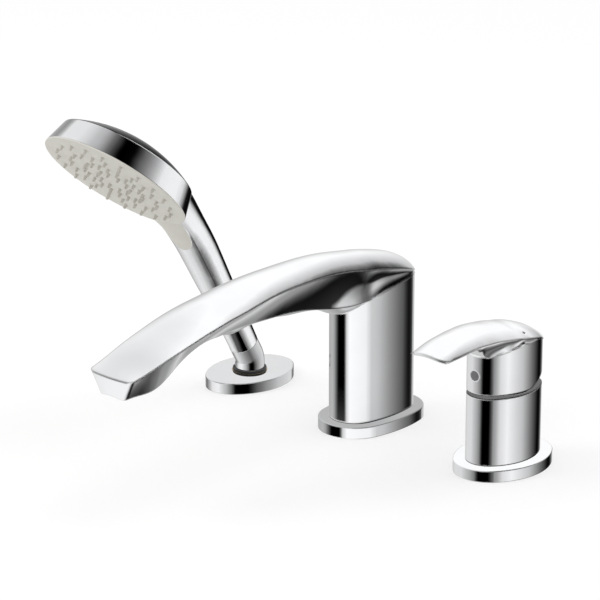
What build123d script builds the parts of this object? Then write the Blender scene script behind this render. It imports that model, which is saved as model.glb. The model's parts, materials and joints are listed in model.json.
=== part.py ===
from build123d import *
import math
import os

os.makedirs("parts", exist_ok=True)

# Three units stand in a row along X on the top of a deck, which is the plane Z = 0.
# The handshower is at the left, the spout in the middle and the mixer at the right.
# The spout and the lever point to the front, which is -Y. All lengths are in millimetres.

UNIT_SPACING = 120.0
HOLDER_SPACING = 119.0
DECK_THICKNESS = 25.0
OVERRUN = 5.0
THREAD_CLEARANCE = 0.1
MOVING_CLEARANCE = 0.3
RUNNING_CLEARANCE = 0.08
FACE_CLEARANCE = 0.1

# Cover plates and the fixing under the deck
PLATE_THICKNESS = 8.2
PLATE_EDGE_RADIUS = 0.8
PLATE_HOLE_CLEARANCE = 0.3
GASKET_THICKNESS = 2.0
GASKET_WIDTH = 4.0
GASKET_INSET = 3.0
WASHER_CLEARANCE = 0.4
RUBBER_WASHER_THICKNESS = 3.0
STEEL_WASHER_THICKNESS = 2.0
WASHER_WIDTH = 9.0
NUT_HEIGHT = 9.0
NUT_WIDTH = 6.5
NUT_CHAMFER = 1.0
SHANK_BELOW_NUT = 28.0
SHANK_LENGTH_BELOW_DECK = (
    DECK_THICKNESS + RUBBER_WASHER_THICKNESS + STEEL_WASHER_THICKNESS + NUT_HEIGHT + SHANK_BELOW_NUT
)
SHANK_END_CHAMFER = 1.0

# Spout outside
SPOUT_PLATE_HALF_WIDTH = 27.4
SPOUT_PLATE_HALF_LENGTH = 42.0
SPOUT_PLATE_END_RADIUS = 25.6
SPOUT_PLATE_BORDER = 7.4
PILLAR_HALF_WIDTH = SPOUT_PLATE_HALF_WIDTH - SPOUT_PLATE_BORDER
PILLAR_HALF_LENGTH = SPOUT_PLATE_HALF_LENGTH - SPOUT_PLATE_BORDER
PILLAR_END_RADIUS = SPOUT_PLATE_END_RADIUS - SPOUT_PLATE_BORDER
ARM_REACH = 247.0
ARM_HALF_WIDTH = 24.3
ARM_CREST_HEIGHT = 125.5
ARM_CROWN = 6.0
PILLAR_CROWN = 9.0
ARM_HOLLOW = 3.0
ARM_OVERHANG = 0.4
ARM_TIP_BOW = 2.5
ARM_TIP_RAKE = 3.5
ARM_TIP_CORNER_RADIUS = 4.0
ARM_TIP_TOP = 97.0
OUTLET_REACH = 228.5
OUTLET_HEIGHT = 82.0
OUTLET_THROAT = 4.0
OUTLET_THROAT_RADIUS = 7.5

# Spout inside
PILLAR_WALL = 3.5
INLET_THREAD_RADIUS = 13.2
INLET_SOCKET_DEPTH = 20.0
INLET_SEAL_THICKNESS = 2.0
INLET_FLOOR = 5.0
INLET_BORE_RADIUS = 9.5
TAIL_THREAD_RADIUS = 10.48
TAIL_THREAD_LENGTH = 14.0
TAIL_BORE_RADIUS = 8.0
CHAMBER_BOTTOM = 34.0
CHAMBER_TOP = 82.0
WATERWAY_RADIUS = 6.0
WATERWAY_BEND_RADIUS = 22.0
AERATOR_RADIUS = 10.75
AERATOR_DEPTH = 9.0
AERATOR_WALL = 1.6
AERATOR_RIM = 1.2
AERATOR_INSERT_HEIGHT = 5.5
AERATOR_SEAL_THICKNESS = 1.2
AERATOR_CELL_RADIUS = 0.85
AERATOR_CELL_PITCH = 2.3
AERATOR_CELL_ROWS = 7

# Diverter in the spout's shank
DIVERTER_SEAT_HEIGHT = 4.0
DIVERTER_PORT_RADIUS = 6.3
DIVERTER_HUB_RADIUS = 2.6
DIVERTER_SPOKE_WIDTH = 1.6
DIVERTER_STEM_RADIUS = 1.5
DIVERTER_STEM_LENGTH = 9.0
DIVERTER_DISC_RADIUS = 7.6
DIVERTER_DISC_THICKNESS = 2.0
DIVERTER_SPRING_RADIUS = 5.0
DIVERTER_SPRING_WIRE = 0.9
DIVERTER_SPRING_LENGTH = 10.5
DIVERTER_CAGE_HEIGHT = 3.0
BRANCH_DROP = 14.0
BRANCH_NECK_RADIUS = 6.0
BRANCH_BORE_RADIUS = 4.5
BRANCH_FLANGE_RADIUS = 11.5
BRANCH_FLANGE_THICKNESS = 4.0
BRANCH_THREAD_LENGTH = 12.0

# Mixer outside
MIXER_PLATE_HALF_WIDTH = 29.0
MIXER_PLATE_HALF_LENGTH = 38.7
MIXER_PLATE_END_RADIUS = 23.5
MIXER_PLATE_BORDER = 8.2
MIXER_HALF_WIDTH = MIXER_PLATE_HALF_WIDTH - MIXER_PLATE_BORDER
MIXER_HALF_LENGTH = MIXER_PLATE_HALF_LENGTH - MIXER_PLATE_BORDER
MIXER_END_RADIUS = MIXER_PLATE_END_RADIUS - MIXER_PLATE_BORDER
MIXER_BODY_TOP = 55.5
MIXER_BODY_EDGE_RADIUS = 0.6
LEVER_GAP = 2.4
LEVER_SKIRT_WALL = 2.3
LEVER_CAVITY_TOP = 80.0
LEVER_REACH = 75.5
LEVER_CREST_HEIGHT = 98.5
LEVER_CROWN = 7.3
LEVER_TIP_BOW = 3.5
LEVER_TIP_HALF_WIDTH = 15.0
LEVER_HEEL_ANGLE = 16.0
LEVER_HEEL_START = 2.0
LEVER_OVERHANG = 0.3
LEVER_HOLLOW = 2.0
OVERHEAD = 1.0

# Mixer inside
MIXER_SHANK_RADIUS = 16.5
MIXER_SHANK_BORE_RADIUS = 14.4
MIXER_SHANK_SOCKET = 6.0
PORT_RADIUS = 3.6
PORT_CIRCLE_RADIUS = 8.3
PORT_INSET = 0.4
TAIL_RADIUS = 5.0
TAIL_NECK_RADIUS = 4.7
TAIL_WALL = 1.0
TAIL_SOCKET = 3.0
TAIL_BELOW_SHANK = 22.0
CARTRIDGE_RADIUS = 17.4
CARTRIDGE_POCKET_CLEARANCE = 0.15
CARTRIDGE_FLOOR = 22.0
CARTRIDGE_SEAL_THICKNESS = 1.0
CARTRIDGE_BASE_THICKNESS = 3.0
CARTRIDGE_WALL = 2.4
CARTRIDGE_SHOULDER = 46.0
CARTRIDGE_SHOULDER_THICKNESS = 2.0
CARTRIDGE_NECK_RADIUS = 13.0
CARTRIDGE_TOP = 55.0
DISC_THICKNESS = 3.5
FIXED_DISC_RADIUS = 14.4
MOVING_DISC_RADIUS = 10.2
MOVING_DISC_POCKET_RADIUS = 5.5
MOVING_DISC_POCKET_DEPTH = 1.5
CARRIER_THICKNESS = 4.8
CARRIER_POCKET_RADIUS = 3.6
ROTOR_FLANGE_RADIUS = 14.7
ROTOR_FLANGE_THICKNESS = 5.0
ROTOR_NECK_RADIUS = 10.3
ROTOR_TOP = 56.0
STEM_PIVOT_HEIGHT = 49.0
STEM_WIDTH = 7.0
STEM_DEPTH = 7.0
STEM_TOP = 76.5
STEM_FOOT_RADIUS = 3.2
STEM_FOOT_HEIGHT = 36.3
STEM_FOOT_NECK = 4.0
STEM_FOOT_STEP = 1.0
STEM_PIN_RADIUS = 1.5
STEM_PIN_HALF_LENGTH = 9.8
SLOT_FRONT = 8.2
SLOT_REAR = 6.8
NUT_RING_HEIGHT = 7.0
NUT_RING_NOTCH = 3.0
COVER_RADIUS = 16.6
COVER_BORE_RADIUS = 11.4
COVER_TOP = 58.0
COVER_WALL = 1.2
COVER_EDGE_RADIUS = 1.0
LEVER_BOSS_BOTTOM = 63.0
LEVER_BOSS_WIDTH = 13.0
LEVER_BOSS_DEPTH = 14.0
GRUB_HEIGHT = 70.5
GRUB_RADIUS = 2.5
GRUB_LENGTH = 8.0
GRUB_HEX_RADIUS = 1.4
GRUB_HEX_DEPTH = 3.0
SCREW_CAP_RADIUS = 3.5
SCREW_CAP_DEPTH = 2.5
INDEX_DOT_RADIUS = 0.9
INDEX_DOT_BOTTOM = 95.6
INDEX_DOT_X = 16.8
INDEX_DOT_FORWARD = 1.1

# Holder outside and inside
HOLDER_PLATE_HALF_WIDTH = 27.0
HOLDER_PLATE_HALF_LENGTH = 36.5
HOLDER_PLATE_END_RADIUS = 20.5
HOLDER_SHANK_RADIUS = 12.5
HOLDER_SHANK_BORE_RADIUS = 9.6
ELBOW_RADIUS = 10.65
ELBOW_BORE_RADIUS = 9.5
ELBOW_DEPTH = 16.0
ELBOW_CORNER_HEIGHT = 17.9
ELBOW_BEND_RADIUS = 14.0
ELBOW_MOUTH_RUN = 13.4
HANDLE_TILT = 29.0
HOLDER_RING_RADIUS = 12.1
HOLDER_RING_HEIGHT = 1.8
LINER_WALL = 0.8
LINER_LENGTH = 9.5

# Handset: the handle and what it holds
HANDLE_LENGTH = 145.0
HANDLE_BACK_RADIUS = 13.4
HANDLE_BORE_RADIUS = 5.4
HANDLE_BORE_LENGTH = 116.0
INLET_PLUG_RADIUS = 7.6
INLET_PLUG_LENGTH = 13.0
SPIGOT_LENGTH = 9.0
HOSE_THREAD_RADIUS = 7.5
HOSE_THREAD_DEPTH = 8.0
INLET_WAY_RADIUS = 4.0
FILTER_THICKNESS = 1.5
HANDLE_TUBE_RADIUS = 5.2
HANDLE_TUBE_WALL = 1.0
HANDLE_TUBE_LENGTH = 98.0
TONGUE_THICKNESS = 2.2
TONGUE_START = 113.2
TONGUE_END_RADIUS = 12.2
TONGUE_TOP_HALF_WIDTH = 18.5

# Handset: the head
HEAD_RADIUS = 54.0
HEAD_CENTRE_FORWARD = 128.0
HEAD_CENTRE_HEIGHT = 175.3
HEAD_TILT = 43.0
HEAD_BAND = 18.0
HEAD_TAPER = 4.5
HEAD_CROWN = 13.3
HEAD_EDGE_RADIUS = 0.8
HEAD_WALL = 2.8
HEAD_CAVITY_RADIUS = 46.6
FACE_FLANGE = 0.8
FACE_THICKNESS = 2.5
FACE_EDGE_RADIUS = 0.4
PORT_DEPTH = 9.5
PORT_BORE_RADIUS = 4.0
PORT_START = 80.0
MEMBRANE_THICKNESS = 2.0
MEMBRANE_RADIUS = 45.9
NOZZLE_BASE_RADIUS = 1.2
NOZZLE_TIP_RADIUS = 0.9
NOZZLE_BORE_RADIUS = 0.4
NOZZLE_HEIGHT = 3.0
NOZZLE_HOLE_RADIUS = 1.3
NOZZLE_RING_RADII = (43.8, 33.2, 22.4)
NOZZLE_COLUMNS = 20
NOZZLE_INNER_RADIUS = 12.4
NOZZLE_INNER_COUNT = 10
NOZZLE_PLATE_THICKNESS = 2.5
NOZZLE_PLATE_RADIUS = 46.0
NOZZLE_PLATE_HOLE_RADIUS = 1.0
SPRAY_SEAL_HEIGHT = 1.6
SPRAY_SEAL_WIDTH = 1.6


def side_radius(half_width, half_length, end_radius):
    """Radius of the long sides of an oval whose ends are round and tangent to them."""
    run = half_length - end_radius
    return (half_width**2 + run**2 - end_radius**2) / (2 * (half_width - end_radius))


def oval(half_width, half_length, end_radius, centre_x=0.0):
    """Oval face made of four tangent arcs, on the plane XY, long along Y."""
    big = side_radius(half_width, half_length, end_radius)
    run = half_length - end_radius
    join_x = (half_width - big) * (1 - big / (big - end_radius))
    join_y = run * big / (big - end_radius)
    right = centre_x + join_x
    left = centre_x - join_x
    with BuildSketch() as outline:
        with BuildLine():
            ThreePointArc((right, -join_y), (centre_x + half_width, 0), (right, join_y))
            ThreePointArc((right, join_y), (centre_x, half_length), (left, join_y))
            ThreePointArc((left, join_y), (centre_x - half_width, 0), (left, -join_y))
            ThreePointArc((left, -join_y), (centre_x, -half_length), (right, -join_y))
        make_face()
    return outline.sketch


def oval_half_width_at(along, half_width, half_length, end_radius):
    """Half width of the same oval at a place along its length."""
    big = side_radius(half_width, half_length, end_radius)
    run = half_length - end_radius
    join_y = run * big / (big - end_radius)
    distance = abs(along)
    if distance <= join_y:
        return half_width - big + math.sqrt(big**2 - distance**2)
    return math.sqrt(max(end_radius**2 - (distance - run) ** 2, 0))


def across(along):
    """Upright plane square to Y, with its own x along X and its own y along Z."""
    return Plane(origin=(0, along, 0), x_dir=(1, 0, 0), z_dir=(0, -1, 0))


def arm_section(along, centre_x, half_width, crest, crown, chine_half_width, chine, keel, hollow):
    """One slice of an arm: crowned top, two hollow flanks between crest and chine, and a keel."""
    flank_x = (half_width + chine_half_width) / 2 - hollow
    flank_z = (crest + chine) / 2
    with BuildSketch(across(along)) as slice_face:
        with BuildLine():
            ThreePointArc(
                (centre_x - half_width, crest), (centre_x, crest + crown), (centre_x + half_width, crest)
            )
            Spline(
                (centre_x + half_width, crest),
                (centre_x + flank_x, flank_z),
                (centre_x + chine_half_width, chine),
            )
            Spline(
                (centre_x + chine_half_width, chine), (centre_x, keel), (centre_x - chine_half_width, chine)
            )
            Spline(
                (centre_x - chine_half_width, chine),
                (centre_x - flank_x, flank_z),
                (centre_x - half_width, crest),
            )
        make_face()
    return slice_face.sketch


# Spout arm, front part: one row for each slice ahead of the pillar.
# Shares of: reach, half width, crest height, crown, half width, crest height, crest height, hollow
ARM_FRONT_SHARES = [
    (0.142, 0.850, 0.970, 1.40, 0.755, 0.773, 0.696, 0.70),
    (0.211, 0.855, 0.990, 1.28, 0.597, 0.777, 0.739, 0.45),
    (0.308, 0.868, 0.999, 1.12, 0.473, 0.809, 0.781, 0.35),
    (0.406, 0.889, 0.996, 1.03, 0.432, 0.825, 0.800, 0.35),
    (0.507, 0.934, 0.978, 0.97, 0.412, 0.829, 0.804, 0.35),
    (0.609, 0.984, 0.947, 0.88, 0.412, 0.825, 0.804, 0.35),
    (0.698, 1.000, 0.916, 0.78, 0.420, 0.811, 0.791, 0.30),
    (0.759, 0.979, 0.888, 0.67, 0.453, 0.775, 0.761, 0.25),
    (0.811, 0.955, 0.861, 0.58, 0.494, 0.725, 0.712, 0.20),
    (0.860, 0.922, 0.835, 0.47, 0.531, 0.675, 0.669, 0.10),
    (0.905, 0.885, 0.808, 0.37, 0.545, 0.655, 0.654, 0.00),
    (0.953, 0.845, 0.780, 0.23, 0.515, 0.655, 0.654, 0.00),
    (1.010, 0.800, 0.745, 0.12, 0.480, 0.655, 0.654, 0.00),
]
# Spout arm, over the pillar. Shares of: half length, crest height, least half width at the
# crest, height of the cut line on the pillar's wall, hollow
ARM_REAR_SHARES = [
    (0.995, 0.828, 0.000, 0.818, 0.0),
    (0.950, 0.834, 0.000, 0.823, 0.1),
    (0.800, 0.852, 0.000, 0.831, 0.3),
    (0.550, 0.877, 0.000, 0.832, 0.6),
    (0.250, 0.901, 0.000, 0.821, 0.9),
    (-0.050, 0.920, 1.000, 0.811, 1.0),
    (-0.320, 0.936, 1.000, 0.795, 1.0),
    (-0.600, 0.948, 1.005, 0.775, 1.0),
]
PILLAR_CUT_SHARES = [
    (-1.05, 0.690),
    (-1.00, 0.696),
    (-0.88, 0.731),
    (-0.77, 0.753),
    (-0.60, 0.774),
    (-0.30, 0.797),
    (0.02, 0.814),
    (0.30, 0.823),
    (0.60, 0.832),
    (1.05, 0.815),
]

# The way for the water along the arm: shares of the outlet's reach and of the crest height
WATERWAY_SHARES = [
    (0.00, 0.630),
    (0.05, 0.845),
    (0.28, 0.908),
    (0.50, 0.916),
    (0.74, 0.868),
    (0.90, 0.790),
    (1.00, 0.735),
]

def pillar_block(centre_x, half_width, half_length, end_radius, lower, upper):
    """Oval prism between a lower and an upper edge line, each a list of (y, z) points."""
    with BuildPart() as block:
        with BuildSketch(Plane.YZ.offset(centre_x)):
            with BuildLine():
                Spline(*upper)
                Polyline(upper[-1], *reversed(lower), upper[0])
            make_face()
        extrude(amount=2 * half_width, both=True)
        with BuildSketch():
            add(oval(half_width, half_length, end_radius, centre_x))
        extrude(amount=ARM_CREST_HEIGHT, mode=Mode.INTERSECT)
    return block.part


# Front edge of a blade in plan: shares of the half width and of the bow
ARM_TIP_SHARES = [(-1.0, 1.0), (-0.5, 0.25), (0.0, 0.0), (0.5, 0.25), (1.0, 1.0)]
LEVER_TIP_SHARES = [
    (-1.0, 2.0),
    (-0.9, 1.0),
    (-0.7, 0.45),
    (-0.4, 0.12),
    (0.0, 0.0),
    (0.4, 0.12),
    (0.7, 0.45),
    (0.9, 1.0),
    (1.0, 2.0),
]


def tip_space(centre_x, half_width, front, bow, rake, bottom, top, shares):
    """The space ahead of a blade's front, which is bowed in plan and raked in side view."""
    with BuildPart() as space:
        for height, back in ((bottom, rake), (top, 0)):
            edge = [(centre_x + out * half_width, front + back + run * bow) for out, run in shares]
            left = (edge[0][0], 2 * front)
            right = (edge[-1][0], 2 * front)
            with BuildSketch(Plane.XY.offset(height)):
                with BuildLine():
                    Spline(*edge)
                    Polyline(edge[-1], right, left, edge[0])
                make_face()
        loft(ruled=True)
    return space.part


# The pillar: an oval prism whose upper end follows the cut line under the arm
pillar_top = [
    (along * PILLAR_HALF_LENGTH, cut * ARM_CREST_HEIGHT + ARM_OVERHANG / 2)
    for along, cut in PILLAR_CUT_SHARES
]
pillar_foot = [(pillar_top[0][0], PLATE_THICKNESS), (pillar_top[-1][0], PLATE_THICKNESS)]
with BuildPart() as spout_pillar:
    add(
        pillar_block(0, PILLAR_HALF_WIDTH, PILLAR_HALF_LENGTH, PILLAR_END_RADIUS, pillar_foot, pillar_top)
    )

# The tip: bowed in plan and raked back towards the outlet
with BuildPart() as spout_tip_space:
    add(
        tip_space(
            0,
            ARM_HALF_WIDTH,
            -ARM_REACH,
            ARM_TIP_BOW,
            ARM_TIP_RAKE,
            OUTLET_HEIGHT - OVERRUN,
            ARM_TIP_TOP + OVERRUN,
            ARM_TIP_SHARES,
        )
    )

with BuildPart() as spout_body:
    for along, crest, least, cut, hollow in ARM_REAR_SHARES:
        half_width = oval_half_width_at(
            along * PILLAR_HALF_LENGTH, PILLAR_HALF_WIDTH, PILLAR_HALF_LENGTH, PILLAR_END_RADIUS
        )
        crest_half_width = max(half_width, least * PILLAR_HALF_WIDTH)
        add(
            arm_section(
                along * PILLAR_HALF_LENGTH,
                0,
                crest_half_width + ARM_OVERHANG,
                crest * ARM_CREST_HEIGHT,
                PILLAR_CROWN * crest_half_width / PILLAR_HALF_WIDTH,
                half_width + ARM_OVERHANG,
                cut * ARM_CREST_HEIGHT,
                cut * ARM_CREST_HEIGHT - ARM_OVERHANG,
                hollow * ARM_HOLLOW,
            )
        )
    for reach, width, crest, crown, chine_width, chine, keel, hollow in ARM_FRONT_SHARES:
        add(
            arm_section(
                -reach * ARM_REACH,
                0,
                width * ARM_HALF_WIDTH,
                crest * ARM_CREST_HEIGHT,
                crown * ARM_CROWN,
                chine_width * ARM_HALF_WIDTH,
                chine * ARM_CREST_HEIGHT,
                keel * ARM_CREST_HEIGHT,
                hollow * ARM_HOLLOW,
            )
        )
    loft()
    add(spout_pillar.part)
    add(spout_tip_space.part, mode=Mode.SUBTRACT)
    tip_corners = (
        spout_body.edges()
        .filter_by_position(Axis.Y, -ARM_REACH - OVERRUN, -OUTLET_REACH)
        .filter_by(lambda edge: abs((edge @ 0).X - (edge @ 1).X) < abs((edge @ 0).Z - (edge @ 1).Z))
    )
    fillet(tip_corners, ARM_TIP_CORNER_RADIUS)

    # The socket for the shank, the water chamber in the pillar and the way along the arm
    with Locations((0, 0, PLATE_THICKNESS)):
        Cylinder(
            INLET_THREAD_RADIUS + THREAD_CLEARANCE,
            INLET_SOCKET_DEPTH,
            align=(Align.CENTER, Align.CENTER, Align.MIN),
            mode=Mode.SUBTRACT,
        )
        Cylinder(
            INLET_BORE_RADIUS,
            INLET_SOCKET_DEPTH + INLET_FLOOR + OVERRUN,
            align=(Align.CENTER, Align.CENTER, Align.MIN),
            mode=Mode.SUBTRACT,
        )
    with BuildSketch(Plane.XY.offset(CHAMBER_BOTTOM)):
        add(
            oval(
                PILLAR_HALF_WIDTH - PILLAR_WALL,
                PILLAR_HALF_LENGTH - PILLAR_WALL,
                PILLAR_END_RADIUS - PILLAR_WALL,
            )
        )
    extrude(amount=CHAMBER_TOP - CHAMBER_BOTTOM, mode=Mode.SUBTRACT)
    with BuildLine() as waterway:
        FilletPolyline(
            *[(0, -reach * OUTLET_REACH, height * ARM_CREST_HEIGHT) for reach, height in WATERWAY_SHARES],
            radius=WATERWAY_BEND_RADIUS,
        )
    with BuildSketch(Plane(origin=waterway.line @ 0, z_dir=waterway.line % 0)):
        Circle(WATERWAY_RADIUS)
    sweep(path=waterway.line, mode=Mode.SUBTRACT)
    with Locations((0, -OUTLET_REACH, OUTLET_HEIGHT + AERATOR_DEPTH)):
        Cylinder(
            AERATOR_RADIUS + THREAD_CLEARANCE,
            AERATOR_DEPTH + OVERRUN,
            align=(Align.CENTER, Align.CENTER, Align.MAX),
            mode=Mode.SUBTRACT,
        )
        Cylinder(OUTLET_THROAT_RADIUS, 2 * OUTLET_THROAT, mode=Mode.SUBTRACT)

spout_body.part.label = "spout_body"
export_step(spout_body.part, "parts/spout_body.step")


def cover_plate(centre_x, half_width, half_length, end_radius, hole_radius):
    """Oval plate on the deck, with a groove for its gasket in the underside."""
    with BuildPart() as plate:
        with BuildSketch():
            add(oval(half_width, half_length, end_radius, centre_x))
        extrude(amount=PLATE_THICKNESS)
        fillet(plate.edges().group_by(Axis.Z)[-1], PLATE_EDGE_RADIUS)
        add(gasket_ring(centre_x, half_width, half_length, end_radius), mode=Mode.SUBTRACT)
        with Locations((centre_x, 0, 0)):
            Cylinder(hole_radius, 2 * PLATE_THICKNESS + OVERRUN, mode=Mode.SUBTRACT)
    return plate.part


def gasket_ring(centre_x, half_width, half_length, end_radius):
    """Oval rubber ring, level with the plate's underside."""
    outer = GASKET_INSET
    inner = GASKET_INSET + GASKET_WIDTH
    with BuildPart() as ring:
        with BuildSketch():
            add(oval(half_width - outer, half_length - outer, end_radius - outer, centre_x))
            add(
                oval(half_width - inner, half_length - inner, end_radius - inner, centre_x),
                mode=Mode.SUBTRACT,
            )
        extrude(amount=GASKET_THICKNESS)
    return ring.part


def washer(centre_x, bottom, thickness, shank_radius):
    """Flat washer round a shank."""
    with BuildPart() as ring:
        with BuildSketch(Plane.XY.offset(bottom)):
            with Locations((centre_x, 0)):
                Circle(shank_radius + WASHER_WIDTH)
                Circle(shank_radius + WASHER_CLEARANCE, mode=Mode.SUBTRACT)
        extrude(amount=thickness)
    return ring.part


def hexagon_nut(centre_x, top, shank_radius):
    """Hexagon nut on a shank, chamfered at the bottom."""
    with BuildPart() as nut:
        with BuildSketch(Plane.XY.offset(top - NUT_HEIGHT)):
            with Locations((centre_x, 0)):
                RegularPolygon(shank_radius + NUT_WIDTH, 6, major_radius=False)
        extrude(amount=NUT_HEIGHT)
        chamfer(nut.faces().sort_by(Axis.Z)[0].edges(), NUT_CHAMFER)
        with Locations((centre_x, 0, top)):
            Cylinder(shank_radius + THREAD_CLEARANCE, 2 * NUT_HEIGHT + OVERRUN, mode=Mode.SUBTRACT)
    return nut.part


def under_deck_fixing(unit, centre_x, shank_radius):
    """The two washers and the nut that clamp one unit from below."""
    rubber_bottom = -DECK_THICKNESS - RUBBER_WASHER_THICKNESS
    steel_bottom = rubber_bottom - STEEL_WASHER_THICKNESS
    for name, piece in (
        (unit + "_rubber_washer", washer(centre_x, rubber_bottom, RUBBER_WASHER_THICKNESS, shank_radius)),
        (unit + "_steel_washer", washer(centre_x, steel_bottom, STEEL_WASHER_THICKNESS, shank_radius)),
        (unit + "_nut", hexagon_nut(centre_x, steel_bottom, shank_radius)),
    ):
        piece.label = name
        export_step(piece, "parts/" + name + ".step")


SPOUT_SHANK_TOP = PLATE_THICKNESS + INLET_SOCKET_DEPTH - INLET_SEAL_THICKNESS

with BuildPart() as spout_plate:
    add(
        cover_plate(
            0,
            SPOUT_PLATE_HALF_WIDTH,
            SPOUT_PLATE_HALF_LENGTH,
            SPOUT_PLATE_END_RADIUS,
            INLET_THREAD_RADIUS + PLATE_HOLE_CLEARANCE,
        )
    )
spout_plate.part.label = "spout_plate"
export_step(spout_plate.part, "parts/spout_plate.step")

with BuildPart() as spout_gasket:
    add(gasket_ring(0, SPOUT_PLATE_HALF_WIDTH, SPOUT_PLATE_HALF_LENGTH, SPOUT_PLATE_END_RADIUS))
spout_gasket.part.label = "spout_gasket"
export_step(spout_gasket.part, "parts/spout_gasket.step")

# The spout's shank: thread outside, a thinner inlet thread at its foot, a port for the branch
SHANK_FOOT = -SHANK_LENGTH_BELOW_DECK
BRANCH_HEIGHT = SHANK_FOOT + BRANCH_DROP
with BuildPart() as spout_shank:
    with BuildSketch(Plane.XY.offset(SHANK_FOOT)):
        Circle(INLET_THREAD_RADIUS)
    extrude(amount=SPOUT_SHANK_TOP - SHANK_FOOT)
    chamfer(spout_shank.faces().sort_by(Axis.Z)[0].edges(), SHANK_END_CHAMFER)
    with BuildSketch(Plane.XY.offset(SHANK_FOOT - TAIL_THREAD_LENGTH)):
        Circle(TAIL_THREAD_RADIUS)
    extrude(amount=TAIL_THREAD_LENGTH)
    with BuildSketch(Plane.XY.offset(SHANK_FOOT)):
        Circle(INLET_BORE_RADIUS)
    extrude(amount=SPOUT_SHANK_TOP - SHANK_FOOT, mode=Mode.SUBTRACT)
    with BuildSketch(Plane.XY.offset(SHANK_FOOT - TAIL_THREAD_LENGTH)):
        Circle(TAIL_BORE_RADIUS)
    extrude(amount=TAIL_THREAD_LENGTH, mode=Mode.SUBTRACT)
    with BuildSketch(Plane.XZ):
        with Locations((0, BRANCH_HEIGHT)):
            Circle(BRANCH_NECK_RADIUS + THREAD_CLEARANCE)
    extrude(amount=-INLET_THREAD_RADIUS - OVERRUN, mode=Mode.SUBTRACT)
spout_shank.part.label = "spout_shank"
export_step(spout_shank.part, "parts/spout_shank.step")

with BuildPart() as shower_branch:
    with BuildSketch(Plane(origin=(0, INLET_BORE_RADIUS, BRANCH_HEIGHT), z_dir=(0, 1, 0))):
        Circle(BRANCH_NECK_RADIUS)
    extrude(amount=INLET_THREAD_RADIUS - INLET_BORE_RADIUS + FACE_CLEARANCE)
    with BuildSketch(
        Plane(origin=(0, INLET_THREAD_RADIUS + FACE_CLEARANCE, BRANCH_HEIGHT), z_dir=(0, 1, 0))
    ):
        RegularPolygon(BRANCH_FLANGE_RADIUS, 6, major_radius=False)
    extrude(amount=BRANCH_FLANGE_THICKNESS)
    with BuildSketch(
        Plane(
            origin=(0, INLET_THREAD_RADIUS + FACE_CLEARANCE + BRANCH_FLANGE_THICKNESS, BRANCH_HEIGHT),
            z_dir=(0, 1, 0),
        )
    ):
        Circle(TAIL_THREAD_RADIUS)
    extrude(amount=BRANCH_THREAD_LENGTH)
    with BuildSketch(Plane(origin=(0, 0, BRANCH_HEIGHT), z_dir=(0, 1, 0))):
        Circle(BRANCH_BORE_RADIUS)
    extrude(
        amount=INLET_THREAD_RADIUS + BRANCH_FLANGE_THICKNESS + BRANCH_THREAD_LENGTH + OVERRUN,
        mode=Mode.SUBTRACT,
    )
shower_branch.part.label = "shower_branch"
export_step(shower_branch.part, "parts/shower_branch.step")

with BuildPart() as spout_shank_seal:
    with BuildSketch(Plane.XY.offset(SPOUT_SHANK_TOP)):
        Circle(INLET_THREAD_RADIUS)
        Circle(INLET_BORE_RADIUS, mode=Mode.SUBTRACT)
    extrude(amount=INLET_SEAL_THICKNESS)
spout_shank_seal.part.label = "spout_shank_seal"
export_step(spout_shank_seal.part, "parts/spout_shank_seal.step")

under_deck_fixing("spout", 0, INLET_THREAD_RADIUS)


def spider(bottom, height, outer_radius, port_radius, hub_radius, bore_radius):
    """Ring with three spokes and a hub, which fits the shank's bore."""
    with BuildPart() as ring:
        with BuildSketch(Plane.XY.offset(bottom)):
            Circle(outer_radius)
            Circle(port_radius, mode=Mode.SUBTRACT)
            Circle(hub_radius)
            with PolarLocations(port_radius / 2, 3):
                Rectangle(port_radius + hub_radius / 2, DIVERTER_SPOKE_WIDTH)
            Circle(bore_radius, mode=Mode.SUBTRACT)
        extrude(amount=height)
    return ring.part


# The diverter: a sprung disc on a seat, under a cage, all inside the top of the shank
CAGE_BOTTOM = SPOUT_SHANK_TOP - DIVERTER_CAGE_HEIGHT
SPRING_BOTTOM = CAGE_BOTTOM - DIVERTER_SPRING_LENGTH
SPOOL_BOTTOM = SPRING_BOTTOM - DIVERTER_DISC_THICKNESS
SEAT_BOTTOM = SPOOL_BOTTOM - FACE_CLEARANCE - DIVERTER_SEAT_HEIGHT

with BuildPart() as diverter_seat:
    add(
        spider(
            SEAT_BOTTOM,
            DIVERTER_SEAT_HEIGHT,
            INLET_BORE_RADIUS - THREAD_CLEARANCE,
            DIVERTER_PORT_RADIUS,
            DIVERTER_HUB_RADIUS,
            DIVERTER_STEM_RADIUS + RUNNING_CLEARANCE,
        )
    )
diverter_seat.part.label = "diverter_seat"
export_step(diverter_seat.part, "parts/diverter_seat.step")

with BuildPart() as diverter_cage:
    add(
        spider(
            CAGE_BOTTOM,
            DIVERTER_CAGE_HEIGHT,
            INLET_BORE_RADIUS - THREAD_CLEARANCE,
            INLET_BORE_RADIUS - DIVERTER_STEM_RADIUS,
            DIVERTER_SPRING_RADIUS + DIVERTER_SPRING_WIRE,
            DIVERTER_HUB_RADIUS,
        )
    )
diverter_cage.part.label = "diverter_cage"
export_step(diverter_cage.part, "parts/diverter_cage.step")

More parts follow.
